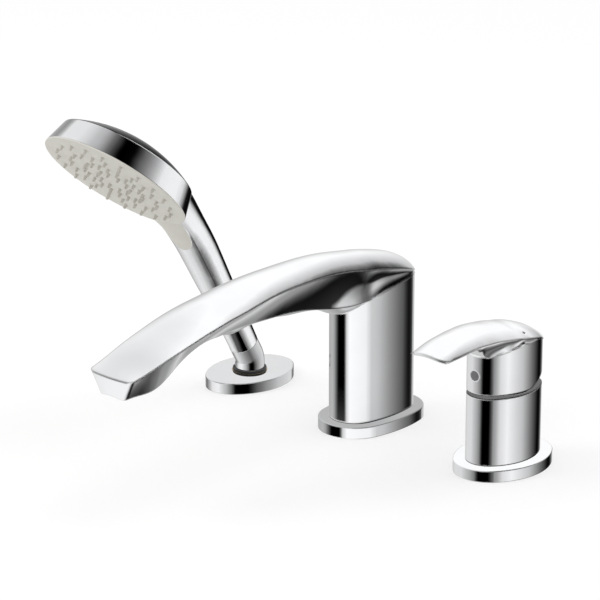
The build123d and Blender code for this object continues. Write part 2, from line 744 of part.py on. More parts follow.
with BuildPart() as diverter_spool:
    with Locations((0, 0, SPOOL_BOTTOM)):
        Cylinder(
            DIVERTER_DISC_RADIUS, DIVERTER_DISC_THICKNESS, align=(Align.CENTER, Align.CENTER, Align.MIN)
        )
        Cylinder(DIVERTER_STEM_RADIUS, DIVERTER_STEM_LENGTH, align=(Align.CENTER, Align.CENTER, Align.MAX))
    with Locations((0, 0, SPRING_BOTTOM)):
        Cylinder(DIVERTER_HUB_RADIUS, DIVERTER_DISC_THICKNESS, align=(Align.CENTER, Align.CENTER, Align.MIN))
diverter_spool.part.label = "diverter_spool"
export_step(diverter_spool.part, "parts/diverter_spool.step")

with BuildPart() as diverter_spring:
    with BuildSketch(Plane.XY.offset(SPRING_BOTTOM)):
        Circle(DIVERTER_SPRING_RADIUS)
        Circle(DIVERTER_SPRING_RADIUS - DIVERTER_SPRING_WIRE, mode=Mode.SUBTRACT)
    extrude(amount=DIVERTER_SPRING_LENGTH)
diverter_spring.part.label = "diverter_spring"
export_step(diverter_spring.part, "parts/diverter_spring.step")

# The aerator, flush in the outlet
with BuildPart() as aerator_housing:
    with BuildSketch(Plane.XY.offset(OUTLET_HEIGHT)):
        with Locations((0, -OUTLET_REACH)):
            Circle(AERATOR_RADIUS)
            Circle(AERATOR_RADIUS - AERATOR_WALL, mode=Mode.SUBTRACT)
    extrude(amount=AERATOR_DEPTH - AERATOR_SEAL_THICKNESS)
    with BuildSketch(Plane.XY.offset(OUTLET_HEIGHT)):
        with Locations((0, -OUTLET_REACH)):
            Circle(AERATOR_RADIUS - AERATOR_WALL)
            Circle(AERATOR_RADIUS - AERATOR_WALL - AERATOR_RIM, mode=Mode.SUBTRACT)
    extrude(amount=AERATOR_RIM)
aerator_housing.part.label = "aerator_housing"
export_step(aerator_housing.part, "parts/aerator_housing.step")

AERATOR_INSERT_RADIUS = AERATOR_RADIUS - AERATOR_WALL - THREAD_CLEARANCE
with BuildPart() as aerator_insert:
    with BuildSketch(Plane.XY.offset(OUTLET_HEIGHT + AERATOR_RIM)):
        with Locations((0, -OUTLET_REACH)):
            Circle(AERATOR_INSERT_RADIUS)
            with HexLocations(AERATOR_CELL_PITCH / 2, AERATOR_CELL_ROWS, AERATOR_CELL_ROWS) as cells:
                inner_cells = [
                    place
                    for place in cells.local_locations
                    if place.position.length < AERATOR_INSERT_RADIUS - 2 * AERATOR_CELL_RADIUS
                ]
            with Locations(inner_cells):
                RegularPolygon(AERATOR_CELL_RADIUS, 6, mode=Mode.SUBTRACT)
    extrude(amount=AERATOR_INSERT_HEIGHT)
aerator_insert.part.label = "aerator_insert"
export_step(aerator_insert.part, "parts/aerator_insert.step")

with BuildPart() as aerator_seal:
    with BuildSketch(Plane.XY.offset(OUTLET_HEIGHT + AERATOR_DEPTH - AERATOR_SEAL_THICKNESS)):
        with Locations((0, -OUTLET_REACH)):
            Circle(AERATOR_RADIUS - THREAD_CLEARANCE)
            Circle(OUTLET_THROAT_RADIUS, mode=Mode.SUBTRACT)
    extrude(amount=AERATOR_SEAL_THICKNESS)
aerator_seal.part.label = "aerator_seal"
export_step(aerator_seal.part, "parts/aerator_seal.step")


MIXER_X = UNIT_SPACING
ABOVE = (Align.CENTER, Align.CENTER, Align.MIN)
BELOW = (Align.CENTER, Align.CENTER, Align.MAX)
MIXER_SOCKET_TOP = PLATE_THICKNESS + MIXER_SHANK_SOCKET
PORT_ANGLES = (90, 210, 330)
port_places = [
    (
        MIXER_X + PORT_CIRCLE_RADIUS * math.cos(math.radians(angle)),
        PORT_CIRCLE_RADIUS * math.sin(math.radians(angle)),
    )
    for angle in PORT_ANGLES
]

with BuildPart() as mixer_plate:
    add(
        cover_plate(
            MIXER_X,
            MIXER_PLATE_HALF_WIDTH,
            MIXER_PLATE_HALF_LENGTH,
            MIXER_PLATE_END_RADIUS,
            MIXER_SHANK_RADIUS + PLATE_HOLE_CLEARANCE,
        )
    )
mixer_plate.part.label = "mixer_plate"
export_step(mixer_plate.part, "parts/mixer_plate.step")

with BuildPart() as mixer_gasket:
    add(gasket_ring(MIXER_X, MIXER_PLATE_HALF_WIDTH, MIXER_PLATE_HALF_LENGTH, MIXER_PLATE_END_RADIUS))
mixer_gasket.part.label = "mixer_gasket"
export_step(mixer_gasket.part, "parts/mixer_gasket.step")

under_deck_fixing("mixer", MIXER_X, MIXER_SHANK_RADIUS)

with BuildPart() as mixer_shank:
    with BuildSketch(Plane.XY.offset(SHANK_FOOT)):
        with Locations((MIXER_X, 0)):
            Circle(MIXER_SHANK_RADIUS)
    extrude(amount=MIXER_SOCKET_TOP - SHANK_FOOT)
    chamfer(mixer_shank.faces().sort_by(Axis.Z)[0].edges(), SHANK_END_CHAMFER)
    with BuildSketch(Plane.XY.offset(SHANK_FOOT)):
        with Locations((MIXER_X, 0)):
            Circle(MIXER_SHANK_BORE_RADIUS)
    extrude(amount=MIXER_SOCKET_TOP - SHANK_FOOT, mode=Mode.SUBTRACT)
mixer_shank.part.label = "mixer_shank"
export_step(mixer_shank.part, "parts/mixer_shank.step")

with BuildPart() as mixer_body:
    with BuildSketch(Plane.XY.offset(PLATE_THICKNESS)):
        add(oval(MIXER_HALF_WIDTH, MIXER_HALF_LENGTH, MIXER_END_RADIUS, MIXER_X))
    extrude(amount=MIXER_BODY_TOP - PLATE_THICKNESS)
    fillet(mixer_body.edges().group_by(Axis.Z)[-1], MIXER_BODY_EDGE_RADIUS)
    with Locations((MIXER_X, 0, CARTRIDGE_FLOOR)):
        Cylinder(
            CARTRIDGE_RADIUS + CARTRIDGE_POCKET_CLEARANCE,
            MIXER_BODY_TOP,
            align=ABOVE,
            mode=Mode.SUBTRACT,
        )
    with Locations((MIXER_X, 0, MIXER_SOCKET_TOP)):
        Cylinder(
            MIXER_SHANK_RADIUS + THREAD_CLEARANCE,
            MIXER_SOCKET_TOP,
            align=BELOW,
            mode=Mode.SUBTRACT,
        )
    with BuildSketch(Plane.XY.offset(MIXER_SOCKET_TOP)):
        with Locations(*port_places):
            Circle(PORT_RADIUS)
    extrude(amount=CARTRIDGE_FLOOR - MIXER_SOCKET_TOP, mode=Mode.SUBTRACT)
    with BuildSketch(Plane.XY.offset(MIXER_SOCKET_TOP)):
        with Locations(*port_places):
            Circle(TAIL_NECK_RADIUS + RUNNING_CLEARANCE)
    extrude(amount=TAIL_SOCKET, mode=Mode.SUBTRACT)
mixer_body.part.label = "mixer_body"
export_step(mixer_body.part, "parts/mixer_body.step")

# The three copper tails: outlet at the rear, hot at the left, cold at the right
for name, place in zip(("outlet_tail", "hot_tail", "cold_tail"), port_places):
    with BuildPart() as tail:
        with BuildSketch(Plane.XY.offset(SHANK_FOOT)):
            with Locations(place):
                Circle(TAIL_NECK_RADIUS)
        extrude(amount=MIXER_SOCKET_TOP + TAIL_SOCKET - SHANK_FOOT)
        with BuildSketch(Plane.XY.offset(SHANK_FOOT - TAIL_BELOW_SHANK)):
            with Locations(place):
                Circle(TAIL_RADIUS)
        extrude(amount=TAIL_BELOW_SHANK)
        with BuildSketch(Plane.XY.offset(SHANK_FOOT - TAIL_BELOW_SHANK)):
            with Locations(place):
                Circle(TAIL_NECK_RADIUS - TAIL_WALL)
        extrude(
            amount=TAIL_BELOW_SHANK + MIXER_SOCKET_TOP + TAIL_SOCKET - SHANK_FOOT, mode=Mode.SUBTRACT
        )
    tail.part.label = name
    export_step(tail.part, "parts/" + name + ".step")


def ported_disc(bottom, thickness, radius, port_radius):
    """Flat disc with the three water ports."""
    with BuildPart() as disc:
        with BuildSketch(Plane.XY.offset(bottom)):
            with Locations((MIXER_X, 0)):
                Circle(radius)
            with Locations(*port_places):
                Circle(port_radius, mode=Mode.SUBTRACT)
        extrude(amount=thickness)
    return disc.part


# The cartridge, from the floor of its pocket upwards
CARTRIDGE_BASE_BOTTOM = CARTRIDGE_FLOOR + CARTRIDGE_SEAL_THICKNESS
FIXED_DISC_BOTTOM = CARTRIDGE_BASE_BOTTOM + CARTRIDGE_BASE_THICKNESS
MOVING_DISC_BOTTOM = FIXED_DISC_BOTTOM + DISC_THICKNESS
CARRIER_BOTTOM = MOVING_DISC_BOTTOM + DISC_THICKNESS
ROTOR_BOTTOM = CARRIER_BOTTOM + CARRIER_THICKNESS + MOVING_CLEARANCE
CARTRIDGE_BORE_RADIUS = CARTRIDGE_RADIUS - CARTRIDGE_WALL

with BuildPart() as cartridge_seal:
    add(ported_disc(CARTRIDGE_FLOOR, CARTRIDGE_SEAL_THICKNESS, CARTRIDGE_RADIUS, PORT_RADIUS))
cartridge_seal.part.label = "cartridge_seal"
export_step(cartridge_seal.part, "parts/cartridge_seal.step")

with BuildPart() as cartridge_base:
    add(
        ported_disc(
            CARTRIDGE_BASE_BOTTOM,
            CARTRIDGE_BASE_THICKNESS,
            CARTRIDGE_BORE_RADIUS - THREAD_CLEARANCE,
            PORT_RADIUS,
        )
    )
cartridge_base.part.label = "cartridge_base"
export_step(cartridge_base.part, "parts/cartridge_base.step")

with BuildPart() as fixed_disc:
    add(ported_disc(FIXED_DISC_BOTTOM, DISC_THICKNESS, FIXED_DISC_RADIUS, PORT_RADIUS - PORT_INSET))
fixed_disc.part.label = "fixed_disc"
export_step(fixed_disc.part, "parts/fixed_disc.step")

with BuildPart() as moving_disc:
    with Locations((MIXER_X, 0, MOVING_DISC_BOTTOM + RUNNING_CLEARANCE)):
        Cylinder(MOVING_DISC_RADIUS, DISC_THICKNESS - RUNNING_CLEARANCE, align=ABOVE)
    with Locations((MIXER_X, 0, CARRIER_BOTTOM)):
        Cylinder(
            MOVING_DISC_POCKET_RADIUS, MOVING_DISC_POCKET_DEPTH, align=BELOW, mode=Mode.SUBTRACT
        )
moving_disc.part.label = "moving_disc"
export_step(moving_disc.part, "parts/moving_disc.step")

with BuildPart() as disc_carrier:
    with Locations((MIXER_X, 0, CARRIER_BOTTOM)):
        Cylinder(MOVING_DISC_RADIUS, CARRIER_THICKNESS, align=ABOVE)
        Cylinder(CARRIER_POCKET_RADIUS, CARRIER_THICKNESS, align=ABOVE, mode=Mode.SUBTRACT)
disc_carrier.part.label = "disc_carrier"
export_step(disc_carrier.part, "parts/disc_carrier.step")

with BuildPart() as cartridge_housing:
    with Locations((MIXER_X, 0, CARTRIDGE_BASE_BOTTOM)):
        Cylinder(CARTRIDGE_RADIUS, CARTRIDGE_SHOULDER - CARTRIDGE_BASE_BOTTOM, align=ABOVE)
    with Locations((MIXER_X, 0, CARTRIDGE_SHOULDER)):
        Cylinder(CARTRIDGE_NECK_RADIUS, CARTRIDGE_TOP - CARTRIDGE_SHOULDER, align=ABOVE)
    with Locations((MIXER_X, 0, CARTRIDGE_SHOULDER - CARTRIDGE_SHOULDER_THICKNESS)):
        Cylinder(
            CARTRIDGE_BORE_RADIUS,
            CARTRIDGE_SHOULDER - CARTRIDGE_SHOULDER_THICKNESS,
            align=BELOW,
            mode=Mode.SUBTRACT,
        )
    with Locations((MIXER_X, 0, CARTRIDGE_TOP)):
        Cylinder(ROTOR_NECK_RADIUS + RUNNING_CLEARANCE, CARTRIDGE_TOP, align=BELOW, mode=Mode.SUBTRACT)
cartridge_housing.part.label = "cartridge_housing"
export_step(cartridge_housing.part, "parts/cartridge_housing.step")

SLOT_MIDDLE = (SLOT_REAR - SLOT_FRONT) / 2
with BuildPart() as cartridge_rotor:
    with Locations((MIXER_X, 0, ROTOR_BOTTOM)):
        Cylinder(ROTOR_FLANGE_RADIUS, ROTOR_FLANGE_THICKNESS, align=ABOVE)
        Cylinder(ROTOR_NECK_RADIUS, ROTOR_TOP - ROTOR_BOTTOM, align=ABOVE)
    with Locations((MIXER_X, SLOT_MIDDLE, ROTOR_BOTTOM)):
        Box(
            STEM_WIDTH + 2 * MOVING_CLEARANCE,
            SLOT_FRONT + SLOT_REAR,
            2 * ROTOR_TOP,
            mode=Mode.SUBTRACT,
        )
    with BuildSketch(Plane(origin=(MIXER_X, 0, STEM_PIVOT_HEIGHT), z_dir=(1, 0, 0))):
        Circle(STEM_PIN_RADIUS)
    extrude(amount=STEM_PIN_HALF_LENGTH, both=True, mode=Mode.SUBTRACT)
cartridge_rotor.part.label = "cartridge_rotor"
export_step(cartridge_rotor.part, "parts/cartridge_rotor.step")

with BuildPart() as stem_pin:
    with BuildSketch(Plane(origin=(MIXER_X, 0, STEM_PIVOT_HEIGHT), z_dir=(1, 0, 0))):
        Circle(STEM_PIN_RADIUS)
    extrude(amount=STEM_PIN_HALF_LENGTH, both=True)
stem_pin.part.label = "stem_pin"
export_step(stem_pin.part, "parts/stem_pin.step")

STEM_SQUARE_BOTTOM = STEM_FOOT_HEIGHT + STEM_FOOT_NECK
with BuildPart() as lever_stem:
    with Locations((MIXER_X, 0, STEM_SQUARE_BOTTOM)):
        Box(STEM_WIDTH, STEM_DEPTH, STEM_TOP - STEM_SQUARE_BOTTOM, align=ABOVE)
    with Locations((MIXER_X, 0, STEM_FOOT_HEIGHT)):
        Sphere(STEM_FOOT_RADIUS)
        Cylinder(STEM_FOOT_RADIUS - STEM_FOOT_STEP, STEM_FOOT_NECK, align=ABOVE)
    with BuildSketch(Plane(origin=(MIXER_X, 0, STEM_PIVOT_HEIGHT), z_dir=(1, 0, 0))):
        Circle(STEM_PIN_RADIUS + RUNNING_CLEARANCE)
    extrude(amount=STEM_WIDTH, both=True, mode=Mode.SUBTRACT)
lever_stem.part.label = "lever_stem"
export_step(lever_stem.part, "parts/lever_stem.step")

with BuildPart() as cartridge_nut:
    with Locations((MIXER_X, 0, CARTRIDGE_SHOULDER)):
        Cylinder(CARTRIDGE_RADIUS + THREAD_CLEARANCE / 2, NUT_RING_HEIGHT, align=ABOVE)
        Cylinder(
            CARTRIDGE_NECK_RADIUS + MOVING_CLEARANCE, NUT_RING_HEIGHT, align=ABOVE, mode=Mode.SUBTRACT
        )
    with BuildSketch(Plane.XY.offset(CARTRIDGE_SHOULDER + NUT_RING_HEIGHT)):
        with Locations((MIXER_X, 0)):
            with PolarLocations(CARTRIDGE_NECK_RADIUS + NUT_RING_NOTCH / 2, 6):
                Rectangle(NUT_RING_NOTCH, NUT_RING_NOTCH)
    extrude(amount=-NUT_RING_NOTCH, mode=Mode.SUBTRACT)
cartridge_nut.part.label = "cartridge_nut"
export_step(cartridge_nut.part, "parts/cartridge_nut.step")

COVER_BOTTOM = CARTRIDGE_SHOULDER + NUT_RING_HEIGHT
with BuildPart() as cartridge_cover:
    with Locations((MIXER_X, 0, COVER_BOTTOM)):
        Cylinder(COVER_RADIUS, COVER_TOP - COVER_BOTTOM, align=ABOVE)
    fillet(cartridge_cover.edges().group_by(Axis.Z)[-1], COVER_EDGE_RADIUS)
    with Locations((MIXER_X, 0, COVER_TOP - COVER_WALL)):
        Cylinder(COVER_RADIUS - COVER_WALL, COVER_TOP, align=BELOW, mode=Mode.SUBTRACT)
    with Locations((MIXER_X, 0, COVER_TOP)):
        Cylinder(COVER_BORE_RADIUS, COVER_TOP, align=BELOW, mode=Mode.SUBTRACT)
cartridge_cover.part.label = "cartridge_cover"
export_step(cartridge_cover.part, "parts/cartridge_cover.step")

# The lever: a skirt round the cartridge and a blade that reaches forward
# Shares over the skirt: half length, crest height, least half width, cut line, hollow
LEVER_REAR_SHARES = [
    (0.985, 0.862, 0.000, 0.854, 0.0),
    (0.885, 0.875, 0.000, 0.868, 0.0),
    (0.650, 0.899, 0.000, 0.886, 0.1),
    (0.450, 0.920, 0.000, 0.908, 0.2),
    (0.230, 0.939, 0.000, 0.919, 0.4),
    (0.000, 0.956, 0.000, 0.918, 0.6),
    (-0.260, 0.971, 0.985, 0.910, 0.8),
    (-0.520, 0.984, 1.000, 0.891, 1.0),
    (-0.720, 0.992, 0.985, 0.873, 1.0),
    (-0.880, 0.998, 0.974, 0.859, 1.0),
]
# Shares ahead of the skirt, as for the spout's arm but of the lever's own sizes
LEVER_FRONT_SHARES = [
    (0.420, 1.000, 0.968, 0.980, 0.480, 0.893, 0.888, 1.0),
    (0.500, 1.000, 0.935, 0.950, 0.625, 0.938, 0.943, 0.7),
    (0.595, 0.998, 0.896, 0.890, 0.770, 0.974, 0.999, 0.3),
    (0.687, 0.993, 0.862, 0.840, 0.813, 0.981, 1.012, 0.1),
    (0.793, 0.980, 0.829, 0.770, 0.795, 0.969, 1.001, 0.0),
    (0.925, 0.961, 0.757, 0.650, 0.730, 0.953, 0.984, 0.0),
    (1.025, 0.951, 0.690, 0.550, 0.668, 0.945, 0.972, 0.0),
    (1.110, 0.945, 0.640, 0.490, 0.622, 0.939, 0.965, 0.0),
]
LEVER_CUT_SHARES = [
    (-1.05, 0.850),
    (-0.95, 0.856),
    (-0.86, 0.860),
    (-0.77, 0.869),
    (-0.65, 0.879),
    (-0.51, 0.892),
    (-0.30, 0.909),
    (-0.04, 0.919),
    (0.25, 0.919),
    (0.45, 0.912),
    (0.70, 0.890),
    (1.05, 0.855),
]
LEVER_BOTTOM = MIXER_BODY_TOP + LEVER_GAP
lever_top_line = [
    (along * MIXER_HALF_LENGTH, cut * LEVER_CREST_HEIGHT + LEVER_OVERHANG / 2)
    for along, cut in LEVER_CUT_SHARES
]
lever_heel = LEVER_BOTTOM + (lever_top_line[-1][0] - LEVER_HEEL_START) * math.tan(
    math.radians(LEVER_HEEL_ANGLE)
)
lever_bottom_line = [
    (lever_top_line[0][0], LEVER_BOTTOM),
    (LEVER_HEEL_START, LEVER_BOTTOM),
    (lever_top_line[-1][0], lever_heel),
]
with BuildPart() as lever_skirt:
    add(
        pillar_block(
            MIXER_X,
            MIXER_HALF_WIDTH,
            MIXER_HALF_LENGTH,
            MIXER_END_RADIUS,
            lever_bottom_line,
            lever_top_line,
        )
    )

with BuildPart() as lever_tip_space:
    add(
        tip_space(
            MIXER_X,
            LEVER_TIP_HALF_WIDTH,
            -LEVER_REACH - LEVER_TIP_BOW,
            LEVER_TIP_BOW,
            0,
            LEVER_BOTTOM,
            LEVER_CREST_HEIGHT + LEVER_CROWN,
            LEVER_TIP_SHARES,
        )
    )

with BuildPart() as lever_block:
    for along, crest, least, cut, hollow in LEVER_REAR_SHARES:
        skirt_half_width = oval_half_width_at(
            along * MIXER_HALF_LENGTH, MIXER_HALF_WIDTH, MIXER_HALF_LENGTH, MIXER_END_RADIUS
        )
        half_width = max(skirt_half_width, least * MIXER_HALF_WIDTH)
        add(
            arm_section(
                along * MIXER_HALF_LENGTH,
                MIXER_X,
                half_width + LEVER_OVERHANG,
                crest * LEVER_CREST_HEIGHT,
                LEVER_CROWN * half_width / MIXER_HALF_WIDTH,
                skirt_half_width + LEVER_OVERHANG,
                cut * LEVER_CREST_HEIGHT,
                cut * LEVER_CREST_HEIGHT - LEVER_OVERHANG,
                hollow * LEVER_HOLLOW,
            )
        )
    for reach, crest, width, crown, chine_width, chine, keel, hollow in LEVER_FRONT_SHARES:
        add(
            arm_section(
                -reach * (LEVER_REACH + LEVER_TIP_BOW),
                MIXER_X,
                width * MIXER_HALF_WIDTH,
                crest * LEVER_CREST_HEIGHT,
                crown * LEVER_CROWN,
                chine_width * MIXER_HALF_WIDTH,
                chine * LEVER_CREST_HEIGHT,
                keel * LEVER_CREST_HEIGHT,
                hollow * LEVER_HOLLOW,
            )
        )
    loft()
    add(lever_skirt.part)
    add(lever_tip_space.part, mode=Mode.SUBTRACT)

with BuildPart() as lever_index_dot:
    add(lever_block.part)
    with BuildSketch(Plane.XY.offset(INDEX_DOT_BOTTOM)):
        with Locations((MIXER_X + INDEX_DOT_X, -INDEX_DOT_FORWARD)):
            Circle(INDEX_DOT_RADIUS)
    extrude(amount=LEVER_CROWN, mode=Mode.INTERSECT)
lever_index_dot.part.label = "lever_index_dot"
export_step(lever_index_dot.part, "parts/lever_index_dot.step")

with BuildPart() as lever:
    add(lever_block.part)
    add(lever_index_dot.part, mode=Mode.SUBTRACT)
    with BuildSketch(Plane.XY.offset(LEVER_BOTTOM)):
        add(
            oval(
                MIXER_HALF_WIDTH - LEVER_SKIRT_WALL,
                MIXER_HALF_LENGTH - LEVER_SKIRT_WALL,
                MIXER_END_RADIUS - LEVER_SKIRT_WALL,
                MIXER_X,
            )
        )
    extrude(amount=LEVER_CAVITY_TOP - LEVER_BOTTOM, mode=Mode.SUBTRACT)
    with Locations((MIXER_X, 0, LEVER_BOSS_BOTTOM)):
        Box(
            LEVER_BOSS_WIDTH,
            LEVER_BOSS_DEPTH,
            LEVER_CAVITY_TOP + OVERHEAD - LEVER_BOSS_BOTTOM,
            align=ABOVE,
        )
        Box(
            STEM_WIDTH + 2 * FACE_CLEARANCE,
            STEM_DEPTH + 2 * FACE_CLEARANCE,
            STEM_TOP + FACE_CLEARANCE - LEVER_BOSS_BOTTOM,
            align=ABOVE,
            mode=Mode.SUBTRACT,
        )
    with BuildSketch(Plane(origin=(MIXER_X, 0, GRUB_HEIGHT), z_dir=(0, -1, 0))):
        Circle(GRUB_RADIUS)
    extrude(amount=LEVER_BOSS_DEPTH, mode=Mode.SUBTRACT)
    with BuildSketch(
        Plane(origin=(MIXER_X, -MIXER_HALF_LENGTH - OVERRUN, GRUB_HEIGHT), z_dir=(0, 1, 0))
    ):
        Circle(SCREW_CAP_RADIUS)
    extrude(amount=OVERRUN + 2 * LEVER_SKIRT_WALL, mode=Mode.SUBTRACT)
lever.part.label = "lever"
export_step(lever.part, "parts/lever.step")

with BuildPart() as lever_grub_screw:
    with BuildSketch(Plane(origin=(MIXER_X, -STEM_DEPTH / 2, GRUB_HEIGHT), z_dir=(0, -1, 0))):
        Circle(GRUB_RADIUS)
    extrude(amount=GRUB_LENGTH)
    with BuildSketch(
        Plane(origin=(MIXER_X, -STEM_DEPTH / 2 - GRUB_LENGTH, GRUB_HEIGHT), z_dir=(0, 1, 0))
    ):
        RegularPolygon(GRUB_HEX_RADIUS, 6)
    extrude(amount=GRUB_HEX_DEPTH, mode=Mode.SUBTRACT)
lever_grub_screw.part.label = "lever_grub_screw"
export_step(lever_grub_screw.part, "parts/lever_grub_screw.step")

with BuildPart() as lever_screw_cap:
    with BuildSketch(Plane.XY.offset(LEVER_BOTTOM)):
        add(oval(MIXER_HALF_WIDTH, MIXER_HALF_LENGTH, MIXER_END_RADIUS, MIXER_X))
    extrude(amount=LEVER_CAVITY_TOP - LEVER_BOTTOM)
    with BuildSketch(
        Plane(origin=(MIXER_X, -MIXER_HALF_LENGTH - OVERRUN, GRUB_HEIGHT), z_dir=(0, 1, 0))
    ):
        Circle(SCREW_CAP_RADIUS)
    extrude(amount=OVERRUN + SCREW_CAP_DEPTH, mode=Mode.INTERSECT)
lever_screw_cap.part.label = "lever_screw_cap"
export_step(lever_screw_cap.part, "parts/lever_screw_cap.step")


# The holder for the handset, at the left
HOLDER_X = -HOLDER_SPACING

with BuildPart() as holder_plate:
    add(
        cover_plate(
            HOLDER_X,
            HOLDER_PLATE_HALF_WIDTH,
            HOLDER_PLATE_HALF_LENGTH,
            HOLDER_PLATE_END_RADIUS,
            HOLDER_SHANK_RADIUS + THREAD_CLEARANCE,
        )
    )
holder_plate.part.label = "holder_plate"
export_step(holder_plate.part, "parts/holder_plate.step")

with BuildPart() as holder_gasket:
    add(
        gasket_ring(
            HOLDER_X, HOLDER_PLATE_HALF_WIDTH, HOLDER_PLATE_HALF_LENGTH, HOLDER_PLATE_END_RADIUS
        )
    )
holder_gasket.part.label = "holder_gasket"
export_step(holder_gasket.part, "parts/holder_gasket.step")

under_deck_fixing("holder", HOLDER_X, HOLDER_SHANK_RADIUS)

ELBOW_FOOT = PLATE_THICKNESS - ELBOW_DEPTH
with BuildPart() as holder_shank:
    with BuildSketch(Plane.XY.offset(SHANK_FOOT)):
        with Locations((HOLDER_X, 0)):
            Circle(HOLDER_SHANK_RADIUS)
    extrude(amount=PLATE_THICKNESS - SHANK_FOOT)
    chamfer(holder_shank.faces().sort_by(Axis.Z)[0].edges(), SHANK_END_CHAMFER)
    with BuildSketch(Plane.XY.offset(SHANK_FOOT)):
        with Locations((HOLDER_X, 0)):
            Circle(HOLDER_SHANK_BORE_RADIUS)
    extrude(amount=PLATE_THICKNESS - SHANK_FOOT, mode=Mode.SUBTRACT)
    with BuildSketch(Plane.XY.offset(ELBOW_FOOT - FACE_CLEARANCE)):
        with Locations((HOLDER_X, 0)):
            Circle(ELBOW_RADIUS + RUNNING_CLEARANCE)
    extrude(amount=ELBOW_DEPTH + FACE_CLEARANCE, mode=Mode.SUBTRACT)
holder_shank.part.label = "holder_shank"
export_step(holder_shank.part, "parts/holder_shank.step")

with BuildPart() as holder_ring:
    with BuildSketch(Plane.XY.offset(PLATE_THICKNESS)):
        with Locations((HOLDER_X, 0)):
            Circle(HOLDER_RING_RADIUS)
            Circle(ELBOW_RADIUS + RUNNING_CLEARANCE, mode=Mode.SUBTRACT)
    extrude(amount=HOLDER_RING_HEIGHT)
holder_ring.part.label = "holder_ring"
export_step(holder_ring.part, "parts/holder_ring.step")

# The handle leans to the front: its own axis, and the direction square to that in its back
TILT = math.radians(HANDLE_TILT)
HANDLE_AXIS = Vector(0, -math.sin(TILT), math.cos(TILT))
HANDLE_NORMAL = Vector(0, math.cos(TILT), math.sin(TILT))
ELBOW_CORNER = Vector(HOLDER_X, 0, ELBOW_CORNER_HEIGHT)
ELBOW_MOUTH = ELBOW_CORNER + HANDLE_AXIS * ELBOW_MOUTH_RUN
HANDLE_FOOT = ELBOW_MOUTH + HANDLE_AXIS * FACE_CLEARANCE


def square_to_handle(run):
    """Plane square to the handle's axis, with its own y towards the handle's back."""
    return Plane(origin=HANDLE_FOOT + HANDLE_AXIS * run, x_dir=(1, 0, 0), z_dir=HANDLE_AXIS)


with BuildPart() as holder_elbow:
    with BuildLine() as elbow_path:
        FilletPolyline(
            Vector(HOLDER_X, 0, ELBOW_FOOT), ELBOW_CORNER, ELBOW_MOUTH, radius=ELBOW_BEND_RADIUS
        )
    with BuildSketch(Plane.XY.offset(ELBOW_FOOT)):
        with Locations((HOLDER_X, 0)):
            Circle(ELBOW_RADIUS)
    sweep(path=elbow_path.line)
    with BuildSketch(Plane.XY.offset(ELBOW_FOOT)):
        with Locations((HOLDER_X, 0)):
            Circle(ELBOW_BORE_RADIUS)
    sweep(path=elbow_path.line, mode=Mode.SUBTRACT)
holder_elbow.part.label = "holder_elbow"
export_step(holder_elbow.part, "parts/holder_elbow.step")

with BuildPart() as holder_liner:
    with BuildSketch(square_to_handle(-FACE_CLEARANCE - LINER_LENGTH)):
        Circle(ELBOW_BORE_RADIUS)
        Circle(ELBOW_BORE_RADIUS - LINER_WALL, mode=Mode.SUBTRACT)
    extrude(amount=LINER_LENGTH)
holder_liner.part.label = "holder_liner"
export_step(holder_liner.part, "parts/holder_liner.step")

# The handle, from its foot up into the head, one row for each slice.
# Shares of the length, then of the back radius: back, ridge out, ridge forward, front, shift
HANDLE_SHARES = [
    (0.0000, 0.806, 0.694, 0.403, 0.761, 0.000),
    (0.0621, 0.830, 0.716, 0.417, 0.753, 0.000),
    (0.1241, 0.855, 0.739, 0.431, 0.746, 0.000),
    (0.1862, 0.880, 0.762, 0.448, 0.738, 0.000),
    (0.2483, 0.906, 0.786, 0.465, 0.730, 0.000),
    (0.3310, 0.943, 0.820, 0.493, 0.718, 0.000),
    (0.4138, 0.979, 0.853, 0.519, 0.709, 0.000),
    (0.4897, 1.014, 0.878, 0.533, 0.715, 0.000),
    (0.5655, 1.049, 0.900, 0.543, 0.735, 0.000),
    (0.6483, 1.067, 0.933, 0.560, 0.769, 0.000),
    (0.7034, 1.054, 0.971, 0.583, 0.808, 0.000),
    (0.7517, 1.029, 1.017, 0.617, 0.864, 0.000),
    (0.8000, 1.004, 1.067, 0.665, 0.937, 0.000),
    (0.8414, 0.982, 1.116, 0.751, 1.041, 0.000),
    (0.8828, 0.960, 1.170, 0.871, 1.178, 0.000),
    (0.9241, 0.935, 1.224, 1.029, 1.341, 0.000),
    (0.9655, 0.895, 1.272, 1.246, 1.536, 0.000),
    (1.0000, 0.858, 1.291, 1.343, 1.619, 0.000),
    (1.0345, 0.824, 1.243, 1.212, 1.468, 0.080),
    (1.0690, 0.784, 1.157, 1.007, 1.231, 0.224),
    (1.1034, 0.713, 1.069, 0.864, 1.069, 0.364),
    (1.1379, 0.634, 0.970, 0.746, 0.933, 0.522),
    (1.1724, 0.574, 0.863, 0.660, 0.827, 0.699),
    (1.2069, 0.522, 0.746, 0.597, 0.746, 0.896),
]
with BuildPart() as handle_block:
    for run, back, ridge_out, ridge_forward, front, shift in HANDLE_SHARES:
        ridge_x = ridge_out * HANDLE_BACK_RADIUS
        ridge_y = (-ridge_forward - shift) * HANDLE_BACK_RADIUS
        back_y = (back - shift) * HANDLE_BACK_RADIUS
        front_y = (-front - shift) * HANDLE_BACK_RADIUS
        with BuildSketch(square_to_handle(run * HANDLE_LENGTH)):
            with BuildLine():
                ThreePointArc((-ridge_x, ridge_y), (0, back_y), (ridge_x, ridge_y))
                ThreePointArc((ridge_x, ridge_y), (0, front_y), (-ridge_x, ridge_y))
            make_face()
    loft()

